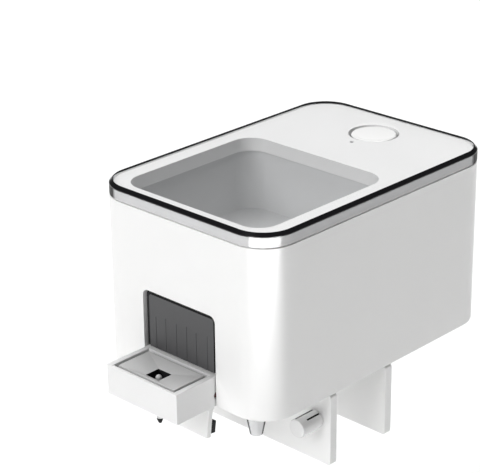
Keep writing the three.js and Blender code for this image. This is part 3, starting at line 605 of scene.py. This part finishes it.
# ---- top deck, seal and lid ----
def make_deck():
    bottom = LID_LO.z
    lower = LID_INSIDE + SEAL_WIDTH + GAP
    deck = loft("top_deck_piece", [
        housing_ring(lower, bottom), housing_ring(lower, FLANGE_UNDER),
        housing_ring(LID_INSIDE + 0.15 * MM, FLANGE_UNDER),
        housing_ring(LID_INSIDE, FLANGE_UNDER + 0.15 * MM),
        housing_ring(LID_INSIDE, DECK_TOP - 0.2 * MM),
        housing_ring(LID_INSIDE + 0.06 * MM, DECK_TOP - 0.06 * MM),
        housing_ring(LID_INSIDE + 0.2 * MM, DECK_TOP),
    ], DECK_WHITE)
    lip = loft("lip", [
        housing_ring(lower + inset, z) for inset, z in (
            (0.02 * MM, BODY_TOP - LIP_DEPTH), (0.02 * MM, BODY_TOP + 0.8 * MM),
            (1 * MM, BODY_TOP + 0.8 * MM), (1 * MM, BODY_TOP - LIP_DEPTH),
        )
    ], None, closed=True)
    collar = loft("collar", [
        mouth_ring(COLLAR_WALL, COLLAR_BOTTOM), mouth_ring(COLLAR_WALL, DECK_TOP - 0.5 * MM),
    ], None)
    posts = [
        turned("post", plain_rod(POST_RADIUS, POST_BOTTOM, POST_TOP), None, centre=(x, y, 0), steps=32)
        for x, y in POST_PLACES
    ]
    fuse(deck, lip, collar, *posts)
    tools = [
        loft("mouth_cutter", [mouth_ring(0, COLLAR_BOTTOM - PAST), mouth_ring(0, DECK_TOP + PAST)], None),
        turned("well_cutter", plain_rod(WELL_RADIUS, BODY_TOP - PAST, DECK_TOP + PAST), None,
               centre=(0, BUTTON_Y, 0), steps=96),
        turned("led_cutter", plain_rod(SMALL_HOLE, BODY_TOP - PAST, DECK_TOP + PAST), None,
               centre=(0, LED_Y, 0), steps=32),
    ]
    for x, y in POST_PLACES:
        hole = plain_rod(SMALL_HOLE, 56 * MM, 63.6 * MM)
        tools.append(turned("post_hole", hole, None, centre=(x, y, 0), steps=24))
    cut(deck, *tools)
    soften(deck, 0.35 * MM, 3)
    stand_in(deck, "housing", "top_deck")


def make_seal():
    inner = LID_INSIDE + SEAL_WIDTH
    low, high = SEAL_LO.z, SEAL_HI.z
    edge = 0.25 * MM
    seal = loft("rim_seal_piece", [
        housing_ring(LID_INSIDE, low), housing_ring(LID_INSIDE, high - edge),
        housing_ring(LID_INSIDE + 0.09 * MM, high - 0.09 * MM), housing_ring(LID_INSIDE + edge, high),
        housing_ring(inner - edge, high), housing_ring(inner - 0.09 * MM, high - 0.09 * MM),
        housing_ring(inner, high - edge), housing_ring(inner, low),
    ], SEAL_WHITE, closed=True)
    soften(seal, 0)
    stand_in(seal, "housing", "rim_seal")


def make_lid():
    """A clear plate with a skirt; its chamfer and a thin line on either side of it are black, as painted
    shade for the dark that refraction shows at a clear edge.
    """
    low = LID_LO.z
    shoulder = LID_TOP - CHAMFER
    line = 0.35 * MM
    rings = [
        housing_ring(0.15 * MM, low), housing_ring(0, low + 0.15 * MM),
        housing_ring(0, shoulder - line), housing_ring(0.04 * MM, shoulder),
        housing_ring(CHAMFER * 0.96, LID_TOP - 0.06 * MM), housing_ring(CHAMFER + line, LID_TOP),
    ]
    lid = loft("clear_lid", rings, CLEAR)
    lid.data.materials.append(LID_EDGE)
    lid.data.materials.append(BLACK)
    inside = loft("lid_inside", [
        housing_ring(SKIRT, low - PAST), housing_ring(SKIRT, PLATE_UNDER - 0.4 * MM),
        housing_ring(SKIRT + 0.4 * MM, PLATE_UNDER),
    ], None)
    well = turned("lid_well", plain_rod(WELL_RADIUS, LID_TOP - 4 * MM, LID_TOP + PAST), None,
                  centre=(0, BUTTON_Y, 0), steps=96)
    cut(lid, inside, well)
    for face in lid.data.polygons:
        middle = face.center
        # the chamfer and a thin line either side get black: painted shade for the dark of refraction
        painted = middle.z > shoulder - line and near_outline(middle, CHAMFER + line)
        if painted and face.normal.z > 0.01 and middle.z < LID_TOP:
            face.material_index = 2
        # the skirt gets the lid edge material, whose greys and black are painted shade by view
        elif near_outline(middle, 0.5 * MM) and abs(face.normal.z) < 0.6:
            face.material_index = 1
        else:
            face.material_index = 0
    soften(lid, 0)
    stand_in(lid, "lid", "lid_cover")


def near_outline(point, inset):
    """True where the point lies within `inset` of the housing's outline."""
    x = abs(point.x) - (WIDTH / 2 - CORNER)
    y = abs(point.y - (FRONT + REAR) / 2) - ((REAR - FRONT) / 2 - CORNER)
    if x > 0 and y > 0:
        return CORNER - math.hypot(x, y) < inset
    return CORNER - max(x, y) < inset


# ---- hopper ----
HOPPER_WALL = 1.8 * MM
HOPPER_TOP = 68 * MM
HOPPER_RIM_UNDER = HOPPER_TOP - 1.5 * MM
HOPPER_BEND = 42.6 * MM      # the straight walls end here and the slopes begin
NECK_TOP = 17 * MM           # the slopes end here in the outlet's neck
HOPPER_FRONT = FRONT + 7.1 * MM
HOPPER_WIDE = (37.2 * MM, FRONT + 78.6 * MM, 9 * MM)        # half width, rear and corner radius
HOPPER_NECK = (12 * MM, FRONT + 14.4 * MM, 1.2 * MM)


def hopper_ring(z, grow=0.0):
    """The hopper's inside at height z, grown by `grow`; between the neck and the bend it widens evenly."""
    share = min(max((z - NECK_TOP) / (HOPPER_BEND - NECK_TOP), 0), 1)
    half, rear, radius = [low + (high - low) * share for low, high in zip(HOPPER_NECK, HOPPER_WIDE)]
    return outline_ring(-half - grow, half + grow, HOPPER_FRONT - grow, rear + grow, radius + grow, z)


def make_hopper():
    heights = [HOPPER_BOTTOM, NECK_TOP, HOPPER_BEND, HOPPER_RIM_UNDER]
    outer = [hopper_ring(z, HOPPER_WALL) for z in heights]
    rim_low = outline_ring(
        -40.4 * MM, 40.4 * MM, FRONT + 5.3 * MM, FRONT + 82.6 * MM, 11 * MM, HOPPER_RIM_UNDER,
    )
    rim_high = [Vector((p.x, p.y, HOPPER_TOP)) for p in rim_low]
    inner = [hopper_ring(z) for z in (HOPPER_TOP, HOPPER_BEND, NECK_TOP, HOPPER_BOTTOM)]
    hopper = loft("hopper_piece", outer + [rim_low, rim_high] + inner, HOPPER_WHITE, closed=True)
    soften(hopper, 1.2 * MM, 4, 20)
    stand_in(hopper, "housing", "hopper")


# ---- button and light ----
STEM = 2 * MM
STEM_RING = STEM + 0.9 * MM  # keeps the cap from lifting out of the well
STEM_RING_TOP = 63.7 * MM
CAP_THICKNESS = 3 * MM
WELL_WALL = 1.6 * MM
WELL_FLOOR = 1.8 * MM


def make_button_cap():
    radius = (BUTTON_HI.x - BUTTON_LO.x) / 2
    top = BUTTON_HI.z
    under = top - CAP_THICKNESS
    foot = BUTTON_LO.z
    profile = [
        (0, foot), (STEM, foot), (STEM_RING, foot + 0.5 * MM), (STEM_RING, STEM_RING_TOP),
        (STEM, STEM_RING_TOP), (STEM, under), (radius - 0.2 * MM, under), (radius, under + 0.2 * MM),
        (radius, top - 0.75 * MM), (radius - 0.06 * MM, top - 0.5 * MM),
        (radius - 0.22 * MM, top - 0.32 * MM), (radius - 0.5 * MM, top - 0.22 * MM),
        (radius * 0.75, top - 0.1 * MM), (radius * 0.45, top - 0.03 * MM), (0, top),
    ]
    cap = turned("button_cap_piece", profile, WHITE, centre=(0, BUTTON_Y, 0), steps=128)
    soften(cap, 0)
    stand_in(cap, "button", "button_cap")


def make_button_well():
    floor_top = WELL_LO.z + WELL_FLOOR
    bore = STEM + GAP
    outside = WELL_RADIUS + WELL_WALL
    well = turned("button_well_piece", [
        (bore, WELL_LO.z), (outside, WELL_LO.z), (outside, WELL_HI.z), (WELL_RADIUS, WELL_HI.z),
        (WELL_RADIUS, floor_top + 0.5 * MM), (WELL_RADIUS - 0.5 * MM, floor_top), (bore, floor_top),
    ], WHITE, centre=(0, BUTTON_Y, 0), steps=96)
    soften(well, 0)
    stand_in(well, "housing", "button_well")


def make_light_pipe():
    radius = 1.4 * MM
    tip = 0.6 * MM
    top = PIPE_HI.z
    pipe = turned("light_pipe_piece", [
        (0, PIPE_LO.z), (radius, PIPE_LO.z), (radius, 68.8 * MM), (tip, 69.3 * MM),
        (tip, top - 0.2 * MM), (0.4 * MM, top), (0, top),
    ], SMOKED, centre=(0, LED_Y, 0), steps=48)
    soften(pipe, 0)
    stand_in(pipe, "housing", "light_pipe")


# ---- slit curtain ----
PANEL_FRONT = CURTAIN_LO.y
FLANGE_FRONT = CURTAIN_HI.y - 1 * MM
PANEL_GAP = 0.4 * MM
PANEL_BORDER = 1.6 * MM      # sloped border round the panel's face
PANEL_STEP = 0.5 * MM
PANEL_TAIL = 10 * MM         # cut off again, so that the lower edge is square
SLIT_WIDTH = 0.16 * MM
SLITS = [                      # distance from the middle, top and lean of each cut, in mm
    (-13.6, 26.4, 0.10), (-8.3, 27.2, -0.12), (-2.6, 26.8, 0.06), (2.9, 27.5, -0.05), (8.0, 26.5, 0.14),
    (13.8, 27.1, -0.08),
]


def make_curtain():
    """A flange behind the wall and a raised middle that fills the opening, with slits in its lower part."""
    half = WINDOW_HALF - PANEL_GAP
    top = WINDOW_TOP - PANEL_GAP
    radius = WINDOW_RADIUS - PANEL_GAP
    low = CURTAIN_LO.z - PANEL_TAIL
    step = PANEL_FRONT + PANEL_STEP
    flat = outline_ring(-half, half, low, top, radius, 0, WINDOW_STEPS)
    inner = outline_ring(
        -half + PANEL_BORDER, half - PANEL_BORDER, low, top - PANEL_BORDER, radius - PANEL_BORDER / 2, 0,
        WINDOW_STEPS,
    )
    curtain = loft("slit_curtain_piece", [
        upright(flat, CURTAIN_HI.y - 0.3 * MM), upright(flat, step), upright(inner, step),
        upright(inner, PANEL_FRONT),
    ], SILICONE)
    below = block(
        "below", (-30 * MM, PANEL_FRONT - 10 * MM, -20 * MM),
        (30 * MM, CURTAIN_HI.y + 10 * MM, CURTAIN_LO.z), None,
    )
    cut(curtain, below)
    flange = block(
        "flange", (CURTAIN_LO.x, FLANGE_FRONT, CURTAIN_LO.z),
        (CURTAIN_HI.x, CURTAIN_HI.y, CURTAIN_HI.z), None,
    )
    fuse(curtain, flange)
    for x, slit_top, lean in SLITS:
        slit = block(
            "slit", (x * MM - SLIT_WIDTH / 2, PANEL_FRONT - 10 * MM, 0),
            (x * MM + SLIT_WIDTH / 2, REAR, slit_top * MM), None,
        )
        for vert in slit.data.vertices:
            if vert.co.z < 1 * MM:
                vert.co.x += lean * MM
        cut(curtain, slit)
    soften(curtain, 0.06 * MM, 2)
    # the border round the panel's face gets black rubber: painted shade for the dark gap round the panel
    curtain.data.materials.append(RUBBER)
    face_half = half - PANEL_BORDER - 0.05 * MM
    face_top = top - PANEL_BORDER - 0.05 * MM
    for face in curtain.data.polygons:
        middle = face.center
        aside = abs(middle.x) > face_half or middle.z > face_top
        if aside and middle.y > PANEL_FRONT + 0.1 * MM:
            face.material_index = 1
    stand_in(curtain, "housing", "slit_curtain")


# ---- dosing drawer ----
DISH_HALF = (DISH_HI.x - DISH_LO.x) / 2
DISH_Y = FRONT - 11 * MM
DISH_INSET = 0.45 * MM
DISH_STEP = 1.3 * MM         # depth of the dish's slopes
DISH_BORDER = 1.1 * MM
DISH_HOLE = (3.5 * MM, 3.3 * MM)        # half width and half depth
GROOVE = 1 * MM
CHUTE = 4.5 * MM
DRAWER_REAR = FRONT + 19 * MM           # the drawer's box ends here and its two arms go on
ARM_INNER = 14 * MM
ARM_BOTTOM = 2.4 * MM


def make_drawer():
    half = (DRAWER_HI.x - DRAWER_LO.x) / 2
    top = DRAWER_HI.z
    bottom = DRAWER_LO.z
    drawer = block("drawer_piece", (-half, DRAWER_LO.y, bottom), (half, DRAWER_REAR, top), DRAWER_WHITE_SHADED)
    arms = []
    for side in (-1, 1):
        xs = sorted((side * ARM_INNER, side * half))
        arms.append(block("arm", (xs[0], DRAWER_REAR - PAST, ARM_BOTTOM), (xs[1], DRAWER_HI.y, top), None))
    fuse(drawer, *arms)
    pocket_floor = top - 2.4 * MM - GAP
    tools = [
        block("pocket", (-DISH_HALF - GROOVE, DISH_LO.y - GROOVE, pocket_floor),
              (DISH_HALF + GROOVE, DISH_HI.y + GROOVE, top + PAST), None),
        block("chute", (-CHUTE, DISH_Y - CHUTE, -PAST), (CHUTE, DISH_Y + CHUTE, top), None),
        turned("plug_hole", plain_rod(1.3 * MM, half - 1.4 * MM, half + PAST), None, "X",
               (0, PLUG_MIDDLE.y, PLUG_MIDDLE.z), 48),
    ]
    for side in (-1, 1):
        xs = sorted((side * (half - GROOVE), side * (half + PAST)))
        low = (xs[0], FRONT + 2 * GAP, 6 * MM)
        tools.append(block("groove", low, (xs[1], DRAWER_HI.y + PAST, 8 * MM), None))
    cut(drawer, *tools)
    soften(drawer, 0.32 * MM, 3)
    # the chute's walls get black rubber as painted shade
    paint_hole_shade(drawer, (CHUTE, CHUTE), bottom + 0.5 * MM, top)
    stand_in(drawer, "drawer", "drawer_box")


def paint_hole_shade(piece, half, z0, z1):
    """Gives the faces that line the chute black rubber, as painted shade in the hole."""
    piece.data.materials.append(RUBBER)
    last = len(piece.data.materials) - 1
    slack = 0.05 * MM
    for face in piece.data.polygons:
        centre = face.center
        inside = abs(centre.x) < half[0] + slack and abs(centre.y - DISH_Y) < half[1] + slack
        if inside and z0 < centre.z < z1:
            face.material_index = last


def hole_ring(corner, z):
    half_x, half_y = DISH_HOLE
    return outline_ring(-half_x, half_x, DISH_Y - half_y, DISH_Y + half_y, corner, z, 4)


def make_dish():
    """A stepped plate whose four slopes lead down to the square hole."""
    top = DISH_HI.z
    dish = block("dish_piece", DISH_LO, (DISH_HI.x, DISH_HI.y, top - DISH_STEP), DRAWER_GREY)
    upper = block(
        "dish_upper", (DISH_LO.x + DISH_INSET, DISH_LO.y + DISH_INSET, top - DISH_STEP - 0.2 * MM),
        (DISH_HI.x - DISH_INSET, DISH_HI.y - DISH_INSET, top), None,
    )
    fuse(dish, upper)
    floor = top - DISH_STEP
    middle = (DISH_LO.y + DISH_HI.y) / 2
    half_x = DISH_HALF - DISH_BORDER
    half_y = (DISH_HI.y - DISH_LO.y) / 2 - DISH_BORDER
    corner = 0.3 * MM
    over = 0.01 * MM
    pit = loft("pit", [
        hole_ring(corner, floor - over),
        outline_ring(-half_x, half_x, middle - half_y, middle + half_y, corner, top + over, 4),
    ], None)
    hole = loft("hole", [hole_ring(corner, z) for z in (DISH_LO.z - PAST, top)], None)
    cut(dish, pit, hole)
    soften(dish, 0.15 * MM, 2, 25)
    # the hole's walls below the slopes get black rubber as painted shade
    paint_hole_shade(dish, DISH_HOLE, DISH_LO.z, floor - 0.2 * MM)
    stand_in(dish, "drawer", "drawer_dish")


def make_pin():
    """A round-headed pin on a bar across the chute."""
    low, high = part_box("drop_pin")
    radius = 1.25 * MM
    bar_half = 0.7 * MM
    profile = [(0, low.z), (radius, low.z), (radius, high.z - radius)]
    profile += quarter_round((radius, high.z - radius), (0, high.z), 10)[1:]
    pin = turned("drop_pin_piece", profile, DRAWER_GREY, centre=(0, DISH_Y, 0), steps=48)
    bar_low = (-CHUTE + GAP, DISH_Y - bar_half, 2 * MM)
    bar = block("bar", bar_low, (CHUTE - GAP, DISH_Y + bar_half, 4 * MM), None)
    fuse(pin, bar)
    soften(pin, 0.12 * MM, 2)
    stand_in(pin, "drawer", "drop_pin")


def make_pin_tip():
    tip_lo, tip_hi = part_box("drop_pin_tip")
    tip_r = (tip_hi.x - tip_lo.x) / 2
    tip = turned("pin_tip_piece", [
        (0, tip_lo.z), (0.45 * MM, tip_lo.z + 0.06 * MM), (0.65 * MM, tip_lo.z + 0.3 * MM),
        (tip_r, tip_hi.z - 0.2 * MM), (tip_r - 0.05 * MM, tip_hi.z - 0.04 * MM), (tip_r - 0.2 * MM, tip_hi.z),
        (0, tip_hi.z),
    ], RUBBER, centre=(0, DISH_Y, 0), steps=48)
    soften(tip, 0)
    stand_in(tip, "drawer", "drop_pin_tip")


def make_plug():
    plug = turned("stop_plug_piece", [
        (0, PLUG_LO.x), (0.95 * MM, PLUG_LO.x), (1 * MM, PLUG_HI.x - 0.35 * MM),
        (0.8 * MM, PLUG_HI.x - 0.08 * MM), (0.5 * MM, PLUG_HI.x), (0, PLUG_HI.x),
    ], RED, "X", (0, PLUG_MIDDLE.y, PLUG_MIDDLE.z), 40)
    soften(plug, 0)
    stand_in(plug, "drawer", "stop_plug")


# ---- clamp ----
CLAMP_RADIUS = 1.2 * MM
SCREW_HOLE = 2.8 * MM
KNOB_RADIUS = 3.8 * MM
KNOB_LENGTH = 11 * MM
KNOB_SHANK = 2.4 * MM
KNOB_GROOVES = (             # angle round the screw, distance from its end and half width, in degrees and mm
    (108, 0.7, 0.5), (56, 3.6, 0.35), (288, 0.7, 0.5), (236, 3.6, 0.35),
)


def make_clamp():
    for place in ("front", "rear"):
        low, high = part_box(f"clamp_plate_{place}")
        edge = 0.4 * MM
        rings = []
        for inset, y in (
            (edge, low.y), (0.12 * MM, low.y + 0.12 * MM), (0, low.y + edge),
            (0, high.y - edge), (0.12 * MM, high.y - 0.12 * MM), (edge, high.y),
        ):
            flat = outline_ring(
                low.x + inset, high.x - inset, low.z + inset, high.z - inset, CLAMP_RADIUS, 0, 8,
            )
            rings.append(upright(flat, y))
        plate = loft(f"clamp_{place}_piece", rings, WHITE)
        if place == "front":
            tools = []
            for side in ("left", "right"):
                x, z = screw_centre(side)
                hole = plain_rod(SCREW_HOLE, low.y - PAST, high.y + PAST)
                tools.append(turned("screw_hole", hole, None, "Y", (x, 0, z), 64))
            cut(plate, *tools)
        soften(plate, 0)
        stand_in(plate, "housing", f"clamp_plate_{place}")


def screw_centre(side):
    low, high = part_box(f"clamp_tip_{side}")
    return (low.x + high.x) / 2, (low.z + high.z) / 2


def make_thumb_screws():
    for side in ("left", "right"):
        x, z = screw_centre(side)
        low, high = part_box(f"thumb_screw_{side}")
        face = low.y
        seat = face + KNOB_LENGTH
        r = KNOB_RADIUS
        profile = [
            (0, face + 0.12 * MM), (r - 1.2 * MM, face + 0.1 * MM), (r - 0.5 * MM, face),
            (r - 0.16 * MM, face + 0.1 * MM), (r, face + 0.5 * MM), (r, seat - 0.3 * MM),
            (r - 0.3 * MM, seat), (KNOB_SHANK, seat), (KNOB_SHANK, high.y - 0.3 * MM),
            (KNOB_SHANK - 0.3 * MM, high.y), (0, high.y),
        ]
        screw = turned(f"thumb_screw_{side}_piece", profile, KNOB_WHITE, "Y", (x, 0, z), 96)
        tools = []
        for angle, start, half_width in KNOB_GROOVES:
            slot = block("groove", (r - 0.6 * MM, face + start * MM, -half_width * MM),
                         (r + 1 * MM, seat - 0.5 * MM, half_width * MM), None)
            turn = Matrix.Rotation(-math.radians(angle), 4, "Y")
            slot.data.transform(Matrix.Translation((x, 0, z)) @ turn)
            tools.append(slot)
        cut(screw, *tools)
        # the grooves' insides get black rubber: painted shade in the grooves
        screw.data.materials.append(RUBBER)
        for polygon in screw.data.polygons:
            middle = polygon.center
            sunk = math.hypot(middle.x - x, middle.z - z) < r - 0.1 * MM
            polygon.material_index = 1 if sunk and face + 0.45 * MM < middle.y < seat - 0.35 * MM else 0
        soften(screw, 0)
        stand_in(screw, f"screw_{side}", f"thumb_screw_{side}")
        tip_lo, tip_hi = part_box(f"clamp_tip_{side}")
        tip_r = (tip_hi.x - tip_lo.x) / 2
        tip = turned(f"clamp_tip_{side}_piece", [
            (0, tip_lo.y), (tip_r - 0.4 * MM, tip_lo.y), (tip_r - 0.1 * MM, tip_lo.y + 0.12 * MM),
            (tip_r, tip_lo.y + 0.4 * MM), (tip_r, tip_hi.y - 0.45 * MM),
            (tip_r - 0.15 * MM, tip_hi.y - 0.15 * MM), (tip_r - 0.5 * MM, tip_hi.y), (0, tip_hi.y),
        ], RUBBER, "Y", (x, 0, z), 64)
        soften(tip, 0)
        stand_in(tip, f"tip_{side}", f"clamp_tip_{side}")


# ---- small fittings ----
def make_nipple():
    low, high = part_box("air_nipple")
    x, y = middle_of("air_nipple")
    bore = 0.9 * MM
    floor = low.z
    # its edges carry painted shade by view, from the edge material
    nipple = turned("air_nipple_piece", [
        (bore, floor), (2.35 * MM, floor), (2.5 * MM, floor + 0.2 * MM), (4 * MM, -0.5 * MM),
        (3.9 * MM, -GAP), (bore + 0.7 * MM, -GAP), (bore + 0.7 * MM, high.z - 3 * MM),
        (bore + 1.1 * MM, high.z - 2.9 * MM), (bore + 0.5 * MM, high.z), (bore, high.z),
    ], NIPPLE_PLASTIC, centre=(x, y, 0), steps=64)
    soften(nipple, 0)
    stand_in(nipple, "housing", "air_nipple")


THREAD_ROOT = 0.72 * MM
THREAD_CREST = 1 * MM
THREAD_PITCH = 0.6 * MM
HEAD_RADIUS = 2.3 * MM
HEAD_HEIGHT = 1.1 * MM
CROSS_HALF = (1.35 * MM, 0.28 * MM)     # half length and half width of the recess's slots


def make_base_screws():
    for number, (x, y) in enumerate(SCREW_PLACES, 1):
        low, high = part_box(f"base_screw_{number}")
        seat = low.z + HEAD_HEIGHT
        profile = [
            (0, low.z), (1.2 * MM, low.z + 0.05 * MM), (2.0 * MM, low.z + 0.35 * MM),
            (HEAD_RADIUS, low.z + 0.8 * MM), (HEAD_RADIUS, seat), (THREAD_CREST, seat),
        ]
        z = seat
        while z < high.z - 1.4 * MM:
            profile += [
                (THREAD_CREST, z + 0.1 * MM), (THREAD_ROOT, z + 0.35 * MM), (THREAD_ROOT, z + 0.5 * MM),
            ]
            z += THREAD_PITCH
        profile += [(THREAD_ROOT, high.z - 0.7 * MM), (0.5 * MM, high.z), (0, high.z)]
        screw = turned(f"base_screw_{number}_piece", profile, STEEL, centre=(x, y, 0), steps=32)
        slots = []
        half_x, half_y = CROSS_HALF
        for angle in (20 + 37 * number, 110 + 37 * number):
            slot = block(
                "cross", (-half_x, -half_y, low.z - 0.5 * MM), (half_x, half_y, low.z + 0.7 * MM), None,
            )
            turn = Matrix.Rotation(math.radians(angle), 4, "Z")
            slot.data.transform(Matrix.Translation((x, y, 0)) @ turn)
            slots.append(slot)
        cut(screw, *slots)
        soften(screw, 0)
        stand_in(screw, "housing", f"base_screw_{number}")


def make_socket():
    half_x = (SOCKET_HI.x - SOCKET_LO.x) / 2
    half_z = (SOCKET_HI.z - SOCKET_LO.z) / 2
    wall = 0.4 * MM

    def ring(inset, y):
        return upright(pill_outline(half_x - inset, half_z - inset), y, SOCKET_MIDDLE.x, SOCKET_MIDDLE.z)

    shell = loft("usb_socket_piece", [
        ring(0, SOCKET_LO.y), ring(0, SOCKET_HI.y - 0.15 * MM), ring(0.12 * MM, SOCKET_HI.y),
        ring(wall, SOCKET_HI.y), ring(wall, SOCKET_LO.y + 2 * MM),
        ring(half_z * 0.7, SOCKET_LO.y + 2 * MM), ring(half_z * 0.7, SOCKET_LO.y),
    ], STEEL, closed=True)
    soften(shell, 0)
    stand_in(shell, "housing", "usb_socket")
    tongue = block(
        "usb_tongue", (-3.2 * MM, SOCKET_LO.y, SOCKET_MIDDLE.z - 0.35 * MM),
        (3.2 * MM, SOCKET_HI.y - 0.8 * MM, SOCKET_MIDDLE.z + 0.35 * MM), BLACK_PLASTIC,
    )
    soften(tongue, 0.12 * MM, 2)
    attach(tongue, "housing")


# ---- CAD pieces that stay ----
EDGE_WIDTHS = {"hanging_tab": 0.3, "hanging_tab_pad": 0.35, "drawer_rack": 0.08, "drive_pinion": 0.08}
USUAL_EDGE = 0.2             # in mm, as the table above


def finish_cad():
    """Gives every CAD piece that still shows its material and rounds its edges."""
    looks = {
        "white_abs": WHITE, "soft_white_abs": HOPPER_WHITE, "clear_acrylic": CLEAR, "black_rubber": RUBBER,
        "dark_silicone": SILICONE, "red_plastic": RED, "steel": STEEL, "brass": BRASS,
        "natural_pom": NATURAL, "circuit_board": BOARD, "black_plastic": BLACK_PLASTIC,
        "white_silicone": SEAL_WHITE,
    }
    for part in frame["record"]["subparts"]:
        thing = frame["nodes"][part["node"]]
        thing.data.materials.clear()
        thing.data.materials.append(looks[part["material_slot"]])
        if thing.hide_render:
            continue
        weld = thing.modifiers.new("weld", "WELD")
        weld.merge_threshold = 0.002 * MM
        flat = thing.modifiers.new("flat", "DECIMATE")
        flat.decimate_type = "DISSOLVE"
        flat.angle_limit = math.radians(1)
        bevel = thing.modifiers.new("bevel", "BEVEL")
        bevel.width = EDGE_WIDTHS.get(part["node"], USUAL_EDGE) * MM
        bevel.segments = 3
        bevel.limit_method = "ANGLE"
        bevel.angle_limit = math.radians(35)
        weight = thing.modifiers.new("normals", "WEIGHTED_NORMAL")
        weight.keep_sharp = True


# ---- floor and light ----
FLOOR_HALF = 4.0
FLOOR_LEVEL = -0.13
WORLD_LIGHT = 0.062
KEY_LIGHT = 0.615
TOP_LIGHT = 0.88
SUN_ANGLE = math.radians(40)
KEY_DIRECTION = (-0.05, -0.83, 0.55)
TOP_DIRECTION = (-0.12, 0.3, 0.94)
STRIP_LIGHT = 2.2
STRIP_SIZE = (0.55, 0.08)
STRIP_DISTANCE = 0.3
STRIP_HEIGHT = 0.0715        # the lid's band, which the strip is mirrored in
STRIP_DIRECTION = (0.645, -0.612, -0.378)


def make_floor():
    half = FLOOR_HALF
    corners = [(x, y, FLOOR_LEVEL) for x, y in ((-half, -half), (half, -half), (half, half), (-half, half))]
    mesh = bpy.data.meshes.new("floor")
    mesh.from_pydata(corners, [], [(0, 1, 2, 3)])
    paint = moulded("floor_paint", (0.93, 0.93, 0.93), 0.9, grain=300, strength=0.05)
    make_object("floor", mesh, paint)


def make_world():
    world = bpy.data.worlds.new("studio")
    world.use_nodes = True
    world.node_tree.nodes["Background"].inputs["Color"].default_value = (1, 1, 1, 1)
    world.node_tree.nodes["Background"].inputs["Strength"].default_value = WORLD_LIGHT
    bpy.context.scene.world = world


def add_lamp(name, light):
    lamp = bpy.data.objects.new(name, light)
    bpy.context.scene.collection.objects.link(lamp)
    return lamp


def sun(name, direction, strength):
    light = bpy.data.lights.new(name, "SUN")
    light.energy = strength * math.pi
    light.angle = SUN_ANGLE
    add_lamp(name, light).rotation_euler = Vector(direction).to_track_quat("Z", "Y").to_euler()


def make_strip():
    """A strip light for the highlight at the near corner: it shows only in reflections."""
    strip = bpy.data.lights.new("strip", "AREA")
    strip.shape = "RECTANGLE"
    strip.size, strip.size_y = STRIP_SIZE
    strip.energy = STRIP_LIGHT
    lamp = add_lamp("strip", strip)
    towards = Vector(STRIP_DIRECTION).normalized()
    lamp.location = Vector((SHELL_HI.x - CORNER, FRONT + CORNER, STRIP_HEIGHT)) + towards * STRIP_DISTANCE
    lamp.visible_diffuse = False
    lamp.visible_camera = False
    lamp.rotation_euler = (-towards).to_track_quat("-Z", "Y").to_euler()


def set_view():
    settings = bpy.context.scene.view_settings
    settings.view_transform = "Standard"
    settings.look = "None"
    settings.exposure = 0
    settings.gamma = 1


make_camera()
make_shell()
make_deck()
make_seal()
make_lid()
make_hopper()
make_button_cap()
make_button_well()
make_light_pipe()
make_curtain()
make_drawer()
make_dish()
make_pin()
make_pin_tip()
make_plug()
make_clamp()
make_thumb_screws()
make_nipple()
make_base_screws()
make_socket()
finish_cad()
make_floor()
make_world()
sun("key", KEY_DIRECTION, KEY_LIGHT)
sun("top", TOP_DIRECTION, TOP_LIGHT)
make_strip()
set_view()
